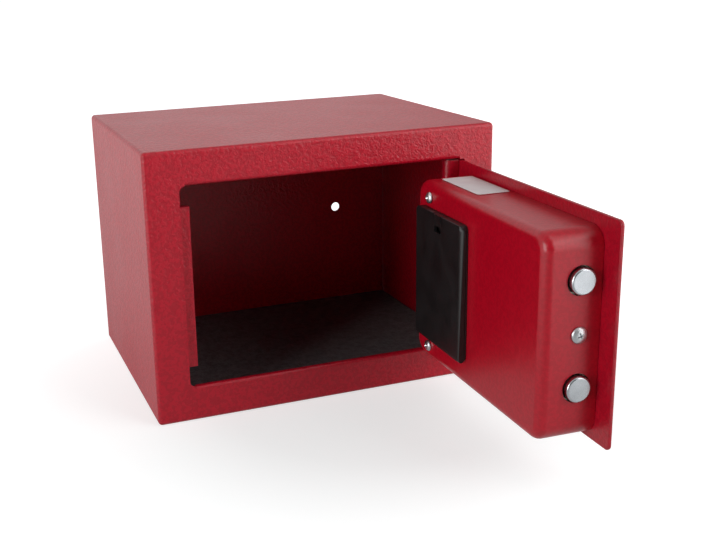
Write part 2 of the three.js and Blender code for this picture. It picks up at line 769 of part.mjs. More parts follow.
// Emergency lock: body with a front flange and a nut, a turning plug with its cam, and a cap.
function emergencyLock() {
  const [face, back] = [front - fit - lockFlange, front + lockDepth];
  const body = join(rod(lockRadius, "y", face, back), rod(lockFlangeRadius, "y", face, front - fit));
  const bore = rod(plugRadius + fit, "y", face - overrun, back + overrun);
  place(shut, "lock_body", cut(body, bore), brass, knobX, 0, lockZ);
  const hexagon = new THREE.CylinderGeometry(lockNutRadius, lockNutRadius, lockNutHeight, nutSides);
  const nut = cut(moved(hexagon, 0, doorRear + lockNutHeight / 2, 0),
    rod(lockRadius + fit, "y", doorRear - overrun, doorRear + lockNutHeight + overrun));
  place(shut, "lock_nut", nut, zinc, knobX, 0, lockZ);
  const plugFront = face + lockFlange / 2;
  const plugBack = back + fit + camThickness;
  const keyway = moved(block(keywayWidth, 2 * keywayDepth, keywayHeight), 0, plugFront, 0);
  const cam = moved(
    block(camWidth, camThickness, camLength), 0, plugBack - camThickness / 2, (camWidth - camLength) / 2);
  const plug = cut(join(rod(plugRadius, "y", plugFront, plugBack), cam), keyway);
  place(shut, "lock_plug", plug, brass, knobX, 0, lockZ);
  const capProfile = [
    [0, -capDepth], [capRadius - capRound, -capDepth], [capRadius, -capDepth + capRound],
    [capRadius, 0], [0, 0]];
  const cap = cut(turned(capProfile, "y"), rod(lockFlangeRadius + fit, "y", -capDepth + capWall, overrun));
  place(shut, "lock_cap", cap, black, knobX, front - fit, lockZ);
}

solenoid();
emergencyLock();

// Keypad: a moulded housing on the door's outer face, its keys and lamps in front of a board.
function keypad() {
  const [width, height] = [keypadWidth, keypadHeight];
  const [rear, face] = [front - fit, front - fit - keypadDepth];
  const rearEnd = rear + 2 * keypadRound;
  const outer = slab(rounded(width, height, keypadCorner), "y", face, rearEnd, keypadRound);
  const trim = moved(block(2 * width, 2 * (rearEnd - rear), 2 * height), 0, rearEnd, 0);
  const innerCorner = keypadCorner - keypadWall;
  const innerOutline = rounded(width - 2 * keypadWall, height - 2 * keypadWall, innerCorner);
  const inner = slab(innerOutline, "y", face + keypadWall, rear + overrun);
  const [holeFrom, holeTo] = [face - overrun, face + keypadWall + overrun];
  const keyHole = () => slab(
    rounded(keyWidth + 2 * keyPlay, keyHeight + 2 * keyPlay, keyCorner), "y", holeFrom, holeTo);
  const keyHoles = keyPlaces().map(([x, z]) => moved(keyHole(), x, 0, z));
  const lampHole = () => rod(ledRadius + fit, "y", holeFrom, holeTo, smallSteps);
  const lampHoles = lampPlaces().map(([x, z]) => moved(lampHole(), x, 0, z));
  const housing = cut(outer, trim, inner, ...keyHoles, ...lampHoles);
  place(shut, "keypad_housing", housing, black, keypadX, 0, openingMid);
  const boardFace = face + keypadWall + keyLipThickness + keyTravel + 2 * fit;
  const [boardWidth, boardHeight] = [width - 2 * (keypadWall + fit), height - 2 * (keypadWall + fit)];
  const plate = slab(
    rounded(boardWidth, boardHeight, innerCorner), "y", boardFace, boardFace + boardThickness);
  place(shut, "keypad_board", plate, board, keypadX, 0, openingMid);
  keyPlaces().forEach(([x, z], index) => key(keyNames[index], face, x, z));
  lampStrip(face, boardFace - fit);
  const [ribbonFrom, ribbonTo] = [boardFace + boardThickness + fit, front + circuitSetback - fit];
  const ribbon = block(ribbonWidth, ribbonTo - ribbonFrom, ribbonThickness);
  const ribbonY = (ribbonFrom + ribbonTo) / 2;
  place(shut, "keypad_ribbon", ribbon, keyGrey, keypadX, ribbonY, openingMid - ribbonDrop);
}

// Lamp strip: the lenses, moulded in one with the light bar behind the housing's face.
function lampStrip(face, to) {
  const profile = [
    [0, face - ledProud], [ledRadius / 2, face - ledProud], [ledRadius, face], [ledRadius, to], [0, to]];
  const lenses = lampPlaces().map(([x, z]) => moved(turned(profile, "y", smallSteps), x, 0, z));
  const from = face + keypadWall + fit;
  const bar = moved(
    block((ledCount - 1) * ledPitch, to - from, 2 * ledRadius), 0, (from + to) / 2, lampPlaces()[0][1]);
  place(shut, "lamp_strip", join(bar, ...lenses), lamp, keypadX, 0, openingMid);
}

const keyNames = ["key_1", "key_2", "key_3", "key_4", "key_5", "key_6", "key_7", "key_8", "key_9",
  "key_clear", "key_0", "key_enter"];

function keyPlaces() {
  const places = [];
  for (let row = 0; row < keyRows; row++) {
    for (let column = 0; column < keyColumns; column++) {
      const x = (column - (keyColumns - 1) / 2) * keyPitchX;
      places.push([x, ((keyRows - 1) / 2 - row) * keyPitchZ - keyFieldDrop]);
    }
  }
  return places;
}

function lampPlaces() {
  const z = keypadHeight / 2 - keyFieldDrop - keypadWall;
  return Array.from({ length: ledCount }, (_, index) => [(index - (ledCount - 1) / 2) * ledPitch, z]);
}

// Key: a cap that stands out of the housing, with a lip that keeps it in.
function key(name, face, x, z) {
  const lipBack = face + keypadWall + fit + keyLipThickness;
  const capOutline = rounded(keyWidth, keyHeight, keyCorner);
  const cap = slab(capOutline, "y", face - keyProud, lipBack, keyRound, arcSteps, keyRoundSteps);
  const lipOutline = rounded(keyWidth + 2 * keyLip, keyHeight + 2 * keyLip, keyCorner);
  const lip = slab(lipOutline, "y", lipBack - keyLipThickness, lipBack);
  place(shut, name, join(cap, lip), keyGrey, keypadX + x, 0, openingMid + z);
}

// Circuit board with its four spacers, chip, socket and buzzer, behind the door plate.
function circuitBoard() {
  const [from, to] = [front + circuitSetback, front + circuitSetback + boardThickness];
  const plate = slab(rounded(circuitWidth, circuitHeight, 2 * spacerRadius / 3), "y", from, to);
  const raised = to + chipHeight - from;
  const chip = moved(block(chipSize, raised, chipSize), -chipSize, from + raised / 2, -chipSize);
  const socket = moved(block(socketWidth, raised, socketHeight), chipSize, from + raised / 2, -ribbonDrop);
  const buzzer = moved(rod(buzzerRadius, "y", from, to + 2 * chipHeight), chipSize, 0, chipSize);
  const spacers = [];
  for (const sideX of [-1, 1]) {
    for (const sideZ of [-1, 1]) {
      spacers.push(moved(rod(spacerRadius, "y", doorRear, to, smallSteps),
        sideX * (circuitWidth / 2 - 2 * spacerRadius), 0, sideZ * (circuitHeight / 2 - 2 * spacerRadius)));
    }
  }
  const circuit = join(plate, chip, socket, buzzer, ...spacers);
  place(shut, "circuit_board", circuit, board, doorMidX + circuitShift, 0, openingMid);
}

function trayRoom() {
  return cellLength + cellNubLength + springLength + 2 * contactThickness + 4 * fit;
}

function trayWidth() {
  return cellCount * cellPitch + 2 * (trayWall + fit);
}

function trayHeight() {
  return trayRoom() + 2 * trayWall;
}

function trayDeep() {
  return 2 * cellRadius + trayWall + 2 * trayWall;
}

// Battery tray with a rim between the back cover and the battery cover, its cells, contacts and springs.
function batteryTray() {
  const rim = coverBack + fit;
  const face = rim + trayRimThickness;
  const floor = face - trayDeep();
  const outer = slab(rounded(trayWidth(), trayHeight(), trayWall), "y", floor, face);
  const flange = slab(rounded(batteryCoverWidth, batteryCoverHeight, batteryCoverCorner), "y", rim, face);
  const innerOutline = rounded(trayWidth() - 2 * trayWall, trayRoom(), trayWall / 2);
  const inner = slab(innerOutline, "y", floor + trayWall, face + overrun);
  place(shut, "battery_tray", cut(join(outer, flange), inner), black, batteryX, 0, batteryZ);
  const cellY = floor + trayWall + fit + cellRadius;
  const springs = { upper: [], lower: [] };
  for (let index = 0; index < cellCount; index++) {
    const x = (index - (cellCount - 1) / 2) * cellPitch;
    const nubUp = index % 2 === 0;
    cell(index, x, cellY, nubUp);
    springs[nubUp ? "lower" : "upper"].push(moved(spring(), x, 0, 0));
  }
  for (const end of ["upper", "lower"]) {
    const length = (cellCount - 1) * cellPitch + contactWidth;
    const strip = moved(block(length, contactWidth, contactThickness), 0, 0, -contactThickness / 2);
    const contact = join(strip, ...springs[end]);
    if (end === "upper") contact.rotateX(Math.PI);
    const z = (end === "upper" ? 1 : -1) * (trayRoom() / 2 - fit - contactThickness);
    place(shut, `contact_strip_${end}`, contact, steel, batteryX, cellY, batteryZ + z);
  }
}

function cell(index, x, y, nubUp) {
  const half = cellLength / 2;
  const nub = half + cellNubLength;
  const profile = [
    [0, -half], [cellRadius, -half], [cellRadius, half],
    [cellNubRadius, half], [cellNubRadius, nub], [0, nub]];
  const geometry = turned(profile, "z", cellSteps);
  if (!nubUp) geometry.rotateX(Math.PI);
  const shift = trayRoom() / 2 - 2 * fit - contactThickness - nub;
  const z = batteryZ + (nubUp ? shift : -shift);
  place(shut, `battery_${index + 1}`, geometry, cellPaint, batteryX + x, y, z);
}

// Contact spring: a wire that winds up a cone, from the contact plate towards the cell.
function spring() {
  const points = [];
  const steps = springCoils * coilSteps;
  const start = -contactThickness / 2;
  const rise = springLength + (contactThickness - springWire) / 2;
  for (let i = 0; i <= steps; i++) {
    const [share, angle] = [i / steps, (i / coilSteps) * 2 * Math.PI];
    const radius = springRadius * (1 - share / 2);
    points.push(new THREE.Vector3(radius * Math.cos(angle), radius * Math.sin(angle), start + share * rise));
  }
  const wire = new THREE.Shape();
  wire.absarc(0, 0, springWire / 2, 0, 2 * Math.PI);
  return new THREE.ExtrudeGeometry(wire, {
    steps, curveSegments: wireSteps, bevelEnabled: false, extrudePath: new THREE.CatmullRomCurve3(points) });
}

// Battery cover: a shallow cap with a rolled lower edge that it tilts on, and a snap tab above.
function batteryCover() {
  const [from, to] = [coverBack + trayRimThickness + 2 * fit, coverBack + batteryCoverProud];
  const roll = (to - from) / 2;
  const [width, height] = [batteryCoverWidth, batteryCoverHeight];
  const start = from - 2 * batteryCoverRound;
  const outline = rounded(width, height - roll, batteryCoverCorner);
  const shell = moved(slab(outline, "y", start, to, batteryCoverRound), 0, 0, roll / 2);
  const trim = moved(block(2 * width, 2 * (from - start), 2 * height), 0, start, 0);
  const lowerTrim = moved(block(2 * width, 4 * roll, 4 * roll), 0, to, -height / 2 - roll);
  const barrel = moved(rod(roll, "x", -width / 2, width / 2), 0, to - roll, roll - height / 2);
  const room = to - from - batteryCoverWall;
  const recessHeight = height - 2 * (roll + batteryCoverWall);
  const recess = moved(block(width - 2 * batteryCoverWall, 2 * room, recessHeight), 0, from, roll / 2);
  const slot = (side) => moved(
    block(snapSlot, 2 * (to - from) + overrun, 2 * snapLength), side * snapWidth / 2, to, height / 2);
  const scoop = moved(
    turned([[0, -scoopDepth], [scoopRadius, 0], [scoopRadius, scoopDepth], [0, scoopDepth]], "y"),
    0, to, height / 2 - snapLength - scoopRadius / 2);
  const cover = cut(join(cut(shell, trim, lowerTrim), barrel), recess, slot(-1), slot(1), scoop);
  place(shut, "battery_cover", cover, black, batteryX, 0, batteryZ);
}

keypad();
circuitBoard();
batteryTray();
batteryCover();

export default safe;
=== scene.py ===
"""Dresses and lights a small electronic safe whose door stands open.

Lengths are metres, +Z is up, the cabinet's opening faces -Y and its hinges are at +X.
Pieces of the door are modelled as on the shut door, and are then turned to where it rests.
"""
import math

import bmesh
import bpy
from bpy.props import FloatProperty, FloatVectorProperty, IntProperty, PointerProperty
from mathutils import Matrix, Vector


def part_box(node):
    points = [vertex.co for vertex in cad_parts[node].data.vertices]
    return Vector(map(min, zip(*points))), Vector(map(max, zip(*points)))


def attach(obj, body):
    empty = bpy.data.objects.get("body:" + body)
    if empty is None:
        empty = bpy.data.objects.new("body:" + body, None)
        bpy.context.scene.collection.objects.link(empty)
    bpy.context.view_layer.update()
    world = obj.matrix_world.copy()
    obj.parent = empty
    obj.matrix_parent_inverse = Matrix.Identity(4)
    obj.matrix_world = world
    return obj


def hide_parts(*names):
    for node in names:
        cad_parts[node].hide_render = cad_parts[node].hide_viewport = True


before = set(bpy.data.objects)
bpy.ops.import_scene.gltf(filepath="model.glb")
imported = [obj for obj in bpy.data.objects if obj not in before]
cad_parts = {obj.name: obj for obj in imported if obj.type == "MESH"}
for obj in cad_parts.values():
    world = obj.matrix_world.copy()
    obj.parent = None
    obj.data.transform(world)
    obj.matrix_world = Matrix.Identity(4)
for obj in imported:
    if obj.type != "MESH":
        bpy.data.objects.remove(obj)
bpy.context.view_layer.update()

bl_info = {
    "name": "Electronic Safe",
    "version": (1, 0, 0),
    "blender": (4, 5, 0),
    "location": "View3D > Sidebar > Safe",
    "description": "Dresses a small electronic safe with its door open and puts it in a white studio",
    "category": "Object",
}


def linear(code):
    """Turns an sRGB hex colour to the linear values that colour sockets take."""
    shares = [int(code[i:i + 2], 16) / 255 for i in (1, 3, 5)]
    return tuple(s / 12.92 if s <= 0.04045 else ((s + 0.055) / 1.055) ** 2.4 for s in shares)


# Where the door hangs, and how far it stands open
HINGE = Vector((0.0865, -0.078, 0))
OPEN = Matrix.Translation(HINGE) @ Matrix.Rotation(math.radians(87.7), 4, "Z") @ Matrix.Translation(-HINGE)

# The cabinet's sheet and the opening in its front
SHEET = 0.0012
OPENING_SIDE = 0.094
OPENING_BOTTOM, OPENING_TOP = 0.0225, 0.1485

# Places on the shut door: its front, the inner side of what stands on its back, and its middle height
FRONT = -0.085
ROOT = FRONT + 0.0023
MIDDLE = 0.0855
SLACK = 0.0003
COVER_LEFT, COVER_BACK = -0.08, -0.049
BOLT_Y, BOLT_RISE = -0.0705, 0.02925
KNOB_X = -0.042
KNOB_TURN = 30
LOCK_Z = 0.1235
KEYPAD_X = 0.0355
KEYPAD_FACE = FRONT - SLACK - 0.008
BATTERY_X, BATTERY_Z = 0.032, 0.0844

# Softboxes: name, place, aim, side in metres and watts
AIM = (0, -0.08, 0.09)
LAMPS = (
    ("right_softbox", (1.424, -1.113, 0.677), AIM, 2.0, 35),
    ("left_softbox", (-1.632, -0.66, 0.464), AIM, 1.0, 15.5),
    ("rear_softbox", (1.6, 0.95, 0.25), (0, 0.05, 0.09), 0.9, 14),
    ("upper_softbox", (0.5, -0.62, 1.4), AIM, 0.6, 1.6),
)

# The camera, fitted to the cabinet's and the door's corners in the photograph. Its azimuth, elevation and
# roll are in degrees, and the frame, the lens and the point it looks through are in pixels.
CAMERA_PLACE = (-0.229704, -0.659891, 0.274584)
CAMERA_TURN = (-20.026, 15.808, -1.522)
FRAME = (716, 540)
LENS = 1030.393
LENS_MIDDLE = (300, 250)
SENSOR = 36

# A noise keeps mostly to this range of values
SPAN = (0.3, 0.7)


class SafeSizes(bpy.types.PropertyGroup):
    """Sizes of the safe's pieces that can be changed."""
    cabinet_bend: FloatProperty(
        name="Cabinet bend", description="Outer radius of the cabinet's folded edges",
        default=0.0026, min=0.0005, max=0.005, unit="LENGTH")
    opening_corner: FloatProperty(
        name="Opening corner", description="Radius of the opening's corners on the latch side",
        default=0.0035, min=0.0005, max=0.008, unit="LENGTH")
    door_corner: FloatProperty(
        name="Door corner", description="Radius of the door plate's corners",
        default=0.003, min=0.0005, max=0.008, unit="LENGTH")
    cover_corner: FloatProperty(
        name="Cover corner", description="Radius of the drawn cover's four corners",
        default=0.01, min=0.002, max=0.02, unit="LENGTH")
    cover_edge: FloatProperty(
        name="Cover edge", description="Radius of the edge round the drawn cover's back",
        default=0.0055, min=0.001, max=0.009, unit="LENGTH")
    coat_grain: FloatProperty(
        name="Coat grain", description="Distance between the bumps of the cabinet's textured coat",
        default=0.0022, min=0.0004, max=0.006, unit="LENGTH")
    felt_pile: FloatProperty(
        name="Felt pile", description="Height of the unevenness of the felt",
        default=0.00035, min=0.0, max=0.001, unit="LENGTH")
    legend_height: FloatProperty(
        name="Legend height", description="Height of the digits printed on the keys",
        default=0.0085, min=0.003, max=0.011, unit="LENGTH")
    round_sides: IntProperty(
        name="Round sides", description="Sides of the turned pieces", default=96, min=24, max=256)


class SafeColours(bpy.types.PropertyGroup):
    """Colours of the safe that can be changed."""
    coat: FloatVectorProperty(
        name="Coat", description="Red of the powder coat", subtype="COLOR", size=3,
        min=0, max=1, default=linear("#B60724"))
    # Painted shade: a deeper red painted in the hollows of the grain, while the paler coat red on the ridges
    # is a painted highlight.
    coat_hollow_painted_shade: FloatVectorProperty(
        name="Coat shade", description="Red in the hollows of the coat's grain", subtype="COLOR", size=3,
        min=0, max=1, default=linear("#AA0621"))
    moulding: FloatVectorProperty(
        name="Moulding", description="Black of the plastic pieces", subtype="COLOR", size=3,
        min=0, max=1, default=linear("#171516"))
    felt: FloatVectorProperty(
        name="Felt", description="Black of the felt mat", subtype="COLOR", size=3,
        min=0, max=1, default=linear("#2A2C2E"))
    key: FloatVectorProperty(
        name="Key", description="Grey of the keys", subtype="COLOR", size=3,
        min=0, max=1, default=linear("#C9CBCC"))


# Modelling

def only(*pieces):
    """Selects these pieces and nothing else."""
    if bpy.context.mode != "OBJECT":
        bpy.ops.object.mode_set(mode="OBJECT")
    bpy.ops.object.select_all(action="DESELECT")
    for piece in pieces:
        piece.select_set(True)
    bpy.context.view_layer.objects.active = pieces[0]


def settled(piece):
    """Bakes a piece's place into its mesh."""
    only(piece)
    bpy.ops.object.transform_apply(location=True, rotation=True, scale=True)
    return piece


def named(name):
    """Names the primitive that was just added and bakes its place into its mesh."""
    piece = bpy.context.active_object
    piece.name = piece.data.name = name
    return settled(piece)


def moved(piece, matrix):
    """Moves a piece by a matrix."""
    piece.matrix_world = matrix
    return settled(piece)


def turned_by(piece, degrees, axis, centre=(0, 0, 0)):
    """Turns a piece about an axis through a centre."""
    to, turn = Matrix.Translation(Vector(centre)), Matrix.Rotation(math.radians(degrees), 4, axis)
    return moved(piece, to @ turn @ Matrix.Translation(-Vector(centre)))


def block(name, low, high):
    """A box between two corners."""
    low, high = Vector(low), Vector(high)
    bpy.ops.mesh.primitive_cube_add(size=1, location=(low + high) / 2, scale=high - low)
    return named(name)


def slab(name, middle, half, front, back):
    """A box between two depths, round a middle across the door, by half its width and height."""
    (x, z), (width, height) = middle, half
    return block(name, (x - width, front, z - height), (x + width, back, z + height))


TURNS = {"X": (0, math.pi / 2, 0), "Y": (-math.pi / 2, 0, 0), "Z": (0, 0, 0)}


def rod(name, start, length, radius, axis, sides=None):
    """A round bar that runs from its start along an axis."""
    way = Vector([float(axis == letter) for letter in "XYZ"])
    bpy.ops.mesh.primitive_cylinder_add(
        vertices=sides or bpy.context.scene.safe_sizes.round_sides, radius=radius, depth=length,
        location=Vector(start) + way * length / 2, rotation=TURNS[axis])
    return named(name)


def ball(name, place, radius, sides):
    """A ball round a place."""
    bpy.ops.mesh.primitive_uv_sphere_add(
        segments=sides, ring_count=sides // 2, radius=radius, location=place)
    return named(name)


def pick(piece, kind, test):
    """Opens the piece in edit mode and selects its vertices, edges or faces that pass the test."""
    only(piece)
    bpy.ops.object.mode_set(mode="EDIT")
    bpy.ops.mesh.select_mode(type=kind)
    bpy.ops.mesh.select_all(action="DESELECT")
    shape = bmesh.from_edit_mesh(piece.data)
    parts = {"VERT": shape.verts, "EDGE": shape.edges, "FACE": shape.faces}[kind]
    chosen = [part for part in parts if test(part)]
    if not chosen:
        raise RuntimeError(f"{piece.name}: nothing to shape")
    for part in chosen:
        part.select_set(True)
    bmesh.update_edit_mesh(piece.data)


def done():
    """Leaves edit mode."""
    bpy.ops.object.mode_set(mode="OBJECT")


def every(part):
    """A test that all parts pass."""
    return True


def looks(axis, side):
    """A test for flat faces that look along an axis."""
    return lambda face: face.normal[axis] * side > 0.999


def along(axis):
    """A test for edges that run along an axis."""
    return lambda edge: abs((edge.verts[0].co - edge.verts[1].co).normalized()[axis]) > 0.999


def rim(axis, side):
    """A test for the edges round the flat face that looks along an axis."""
    def test(edge):
        sides = [looks(axis, side)(face) for face in edge.link_faces]
        return any(sides) and not all(sides)
    return test


def where(test, *limits):
    """Narrows a test for edges to those whose middle lies within limits of (axis, low, high)."""
    def both(edge):
        middle = (edge.verts[0].co + edge.verts[1].co) / 2
        return test(edge) and all(low <= middle[axis] <= high for axis, low, high in limits)
    return both


def ease(piece, test, width, segments=4):
    """Rounds the edges that pass the test."""
    pick(piece, "EDGE", test)
    bpy.ops.mesh.bevel(offset=width, segments=segments, affect="EDGES")
    done()


def drop(piece, kind, test):
    """Deletes the vertices or faces that pass the test."""
    pick(piece, kind, test)
    bpy.ops.mesh.delete(type=kind)
    done()


def taper(piece, test, scale, centre):
    """Scales the faces that pass the test about a centre."""
    pick(piece, "FACE", test)
    bpy.ops.transform.resize(value=scale, center_override=centre)
    done()


def outward(piece):
    """Turns all faces outwards."""
    pick(piece, "FACE", every)
    bpy.ops.mesh.normals_make_consistent(inside=False)
    done()


def modify(piece, kind, **settings):
    """Shapes a piece with a modifier, and applies it."""
    made = piece.modifiers.new(kind, kind)
    for key, value in settings.items():
        setattr(made, key, value)
    only(piece)
    bpy.ops.object.modifier_apply(modifier=made.name)


def carve(piece, *tools, how="DIFFERENCE"):
    """Cuts tools out of a piece, or joins them to it."""
    for tool in tools:
        modify(piece, "BOOLEAN", object=tool, operation=how, solver="EXACT")
        bpy.data.objects.remove(tool)
    return piece


def soften(piece, width, segments=2, degrees=35):
    """Breaks the sharp edges that are left."""
    modify(piece, "BEVEL", width=width, segments=segments, limit_method="ANGLE",
           angle_limit=math.radians(degrees))


def join(first, *others):
    """Makes one object of several."""
    only(first, *others)
    bpy.ops.object.join()
    return first


def copy_of(piece, name, shift=(0, 0, 0)):
    """A copy with its own mesh, moved by a shift."""
    only(piece)
    bpy.ops.object.duplicate()
    bpy.context.active_object.location = shift
    return named(name)


def dress(mesh, finish):
    """Gives a mesh one material, by its name."""
    if finish not in bpy.data.materials:
        raise RuntimeError(f"the material {finish} isn't made yet")
    mesh.materials.clear()
    mesh.materials.append(bpy.data.materials[finish])


def fit_out(piece, finish, body, slot, *nodes, on_door=True, degrees=35):
    """Hangs a finished piece on its body, with its shading and its material, and hides the model's parts
    that it stands for.
    """
    if on_door:
        moved(piece, OPEN)
    only(piece)
    bpy.ops.object.shade_smooth_by_angle(angle=math.radians(degrees))
    modify(piece, "WEIGHTED_NORMAL", keep_sharp=True)
    dress(piece.data, finish)
    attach(piece, body)
    if nodes:
        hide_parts(*nodes)


# Materials

def wire(node, inputs):
    """Gives inputs, by name or in their order, a value, or the socket or node that feeds them."""
    for key, value in inputs.items() if isinstance(inputs, dict) else enumerate(inputs):
        if isinstance(value, bpy.types.Node):
            value = value.outputs[0]
        if isinstance(value, bpy.types.NodeSocket):
            node.id_data.links.new(value, node.inputs[key])
        else:
            node.inputs[key].default_value = value


def add_node(tree, kind, inputs=(), stops=(), **settings):
    """Adds a node with its settings, its inputs and, on a colour ramp, its two stops."""
    made = tree.nodes.new("ShaderNode" + kind)
    for key, value in settings.items():
        setattr(made, key, value)
    for index, (position, colour) in enumerate(stops):
        made.color_ramp.elements[index].position = position
        made.color_ramp.elements[index].color = (*colour, 1)
    wire(made, inputs)
    return made


def new_material(name):
    """Makes a material; gives its tree, its surface shader and the object's own coordinates."""
    made = bpy.data.materials.new(name)
    made.use_nodes = True
    tree = made.node_tree
    return tree, tree.nodes["Principled BSDF"], add_node(tree, "TexCoord").outputs["Object"]


def mottle(tree, shader, pattern, low, high, smooth=None, rough=None):
    """Lets the colour follow a pattern's middle range, and the roughness where its two ends are given."""
    wire(shader, {"Base Color": add_node(
        tree, "ValToRGB", (pattern,), ((SPAN[0], low), (SPAN[1], high)))})
    if rough is not None:
        wire(shader, {"Roughness": add_node(tree, "MapRange", (pattern, *SPAN, smooth, rough))})


def powder_coat(name, grain, depth, roughness, hollow_painted_shade, ridge_painted_highlight):
    # Polyester powder sprayed on steel sheet and baked: an even red with an orange peel of shallow curls,
    # which break reflections up. The red is painted deeper in the peel's hollows and paler on its ridges,
    # a painted shade and a painted highlight that follow the bumps.
    tree, shader, place = new_material(name)
    peel = add_node(tree, "TexNoise", {
        "Vector": place, "Scale": 1 / grain, "Detail": 1.5, "Roughness": 0.5, "Distortion": 0.5})
    fine = add_node(tree, "TexNoise", {"Vector": place, "Scale": 2.6 / grain, "Detail": 1})
    height = add_node(tree, "Math", (fine, 0.3, peel), operation="MULTIPLY_ADD")
    cloud = add_node(tree, "TexNoise", {"Vector": place, "Scale": 22, "Detail": 3})
    # Painted shade in the peel's hollows and painted highlight on its ridges, in the base colour.
    mottle(tree, shader, add_node(tree, "MapRange", (peel, *SPAN, -0.6, 1.6)), hollow_painted_shade, ridge_painted_highlight)
    wire(shader, {
        "Roughness": add_node(tree, "MapRange", (cloud, *SPAN, roughness - 0.02, roughness + 0.02)),
        "IOR": 1.5,
        "Normal": add_node(tree, "Bump", {"Height": height, "Strength": 1.0, "Distance": depth})})


def moulded_plastic(name, colour, roughness):
    # Injection-moulded ABS from a spark-eroded mould: a fine even grain and faint flow marks. The grain
    # is drawn at 0.4 mm, coarser than real, so that it shows.
    tree, shader, place = new_material(name)
    spark = add_node(tree, "TexNoise", {"Vector": place, "Scale": 1 / 0.0004, "Detail": 1})
    flow = add_node(tree, "TexNoise", {"Vector": place, "Scale": 60, "Detail": 2, "Distortion": 0.6})
    deeper = tuple(0.8 * share for share in colour)
    mottle(tree, shader, flow, deeper, colour, roughness - 0.04, roughness + 0.05)
    wire(shader, {
        "IOR": 1.53,
        "Normal": add_node(tree, "Bump", {"Height": spark, "Strength": 0.5, "Distance": 0.00003})})


def plated_metal(name, code, tint, roughness, scratch):
    # Steel with a thin plating: a bright metal whose fine wiping marks blur its reflections unevenly.
    tree, shader, place = new_material(name)
    stretched = add_node(tree, "Mapping", {"Vector": place, "Scale": (1, 1, 0.15)})
    marks = add_node(tree, "TexNoise", {"Vector": stretched, "Scale": 2600, "Detail": 2})
    cloud = add_node(tree, "TexNoise", {"Vector": place, "Scale": 140, "Detail": 3})
    mottle(tree, shader, cloud, linear(tint), linear(code), roughness - 0.04, roughness + 0.06)
    wire(shader, {
        "Metallic": 1,
        "Normal": add_node(tree, "Bump", {"Height": marks, "Strength": scratch, "Distance": 0.00001})})


def needled_felt(name, felt):
    # Polyester fibres needled to a mat: no gloss, a soft bright rim, and fibres that lie every way. They are
    # drawn about 1 mm wide, far coarser than real, so that they show.
    tree, shader, place = new_material(name)
    nap = None
    for turn in (0.3, 1.35, 2.4):
        mapped = add_node(
            tree, "Mapping", {"Vector": place, "Rotation": (0, 0, turn), "Scale": (1, 0.3, 1)})
        fibres = add_node(
            tree, "TexNoise", {"Vector": mapped, "Scale": 900, "Detail": 3, "Distortion": 0.8})
        nap = add_node(tree, "Math", (nap, fibres), operation="MAXIMUM") if nap is not None else fibres
    clump = add_node(tree, "TexNoise", {"Vector": place, "Scale": 210, "Detail": 4, "Roughness": 0.65})
    light = add_node(tree, "Math", (nap, clump), operation="MULTIPLY")
    shade, tip = ([share * part for part in felt] for share in (0.4, 2.3))
    wire(shader, {
        "Base Color": add_node(tree, "ValToRGB", (light,), ((0.2, shade), (0.36, tip))),
        "Roughness": 0.95, "Specular IOR Level": 0.2, "Sheen Weight": 0.25, "Sheen Roughness": 0.5,
        "Normal": add_node(tree, "Bump", {"Height": light, "Strength": 1.0, "Distance": 0.0005})})


def circuit_laminate(name):
    # Glass-epoxy laminate under a green mask: the copper tracks show through as lighter lines.
    tree, shader, place = new_material(name)
    turned = add_node(tree, "Mapping", {"Vector": place, "Rotation": (math.pi / 2, 0, math.pi / 2)})
    tracks = add_node(tree, "TexBrick", {
        "Vector": turned, "Color1": (*linear("#12502C"), 1), "Color2": (*linear("#174F2F"), 1),
        "Mortar": (*linear("#3E8A50"), 1), "Scale": 1.0, "Mortar Size": 0.00022,
        "Brick Width": 0.0062, "Row Height": 0.0021}).outputs
    wire(shader, {
        "Base Color": tracks["Color"], "Roughness": 0.32,
        "Normal": add_node(tree, "Bump", {"Height": tracks["Fac"], "Strength": 0.4, "Distance": 0.00004})})


def wound_coil(name):
    # Enamelled copper wire wound in layers under clear tape: close rings round the coil.
    tree, shader, place = new_material(name)
    turns = add_node(
        tree, "TexWave", {"Vector": place, "Scale": 420, "Distortion": 0.6, "Detail": 1},
        bands_direction="Z").outputs["Fac"]
    mottle(tree, shader, turns, linear("#5E2A12"), linear("#B0652E"))
    wire(shader, {
        "Roughness": 0.28, "Coat Weight": 0.6,
        "Normal": add_node(tree, "Bump", {"Height": turns, "Strength": 0.6, "Distance": 0.0001})})


def shrunk_sleeve(name):
    # Film shrunk on a zinc can: a dark body, pale in its upper part.
    tree, shader, place = new_material(name)
    height = add_node(tree, "SeparateXYZ", (place,)).outputs["Z"]
    film = add_node(tree, "TexNoise", {"Vector": place, "Scale": 300, "Detail": 2})
    band = add_node(tree, "Mix", {
        "Factor": add_node(tree, "MapRange", (height, 0.0975, 0.0977)),
        "A": (*linear("#1E2C3C"), 1), "B": (*linear("#A7ADB2"), 1)}, data_type="RGBA")
    wire(shader, {
        "Base Color": band.outputs["Result"],
        "Roughness": add_node(tree, "MapRange", (film, *SPAN, 0.2, 0.34)), "Coat Weight": 0.5})


def film_label(name):
    # Matt white polyester film: faint fibres and grey smudges from handling.
    tree, shader, place = new_material(name)
    smudge = add_node(tree, "TexNoise", {"Vector": place, "Scale": 120, "Detail": 4})
    fibre = add_node(tree, "TexNoise", {"Vector": place, "Scale": 3000, "Detail": 1})
    mottle(tree, shader, smudge, linear("#F0EBEC"), linear("#F8F5F5"), 0.4, 0.55)
    wire(shader, {"Normal": add_node(
        tree, "Bump", {"Height": fibre, "Strength": 0.3, "Distance": 0.00002})})


def lens(name, code):
    # Tinted acrylic, moulded clear: light passes through it and picks its colour up.
    tree, shader, place = new_material(name)
    cloud = add_node(tree, "TexNoise", {"Vector": place, "Scale": 500, "Detail": 2})
    mottle(tree, shader, cloud, tuple(0.85 * share for share in linear(code)), linear(code))
    wire(shader, {"Roughness": 0.12, "Transmission Weight": 0.35, "IOR": 1.49})


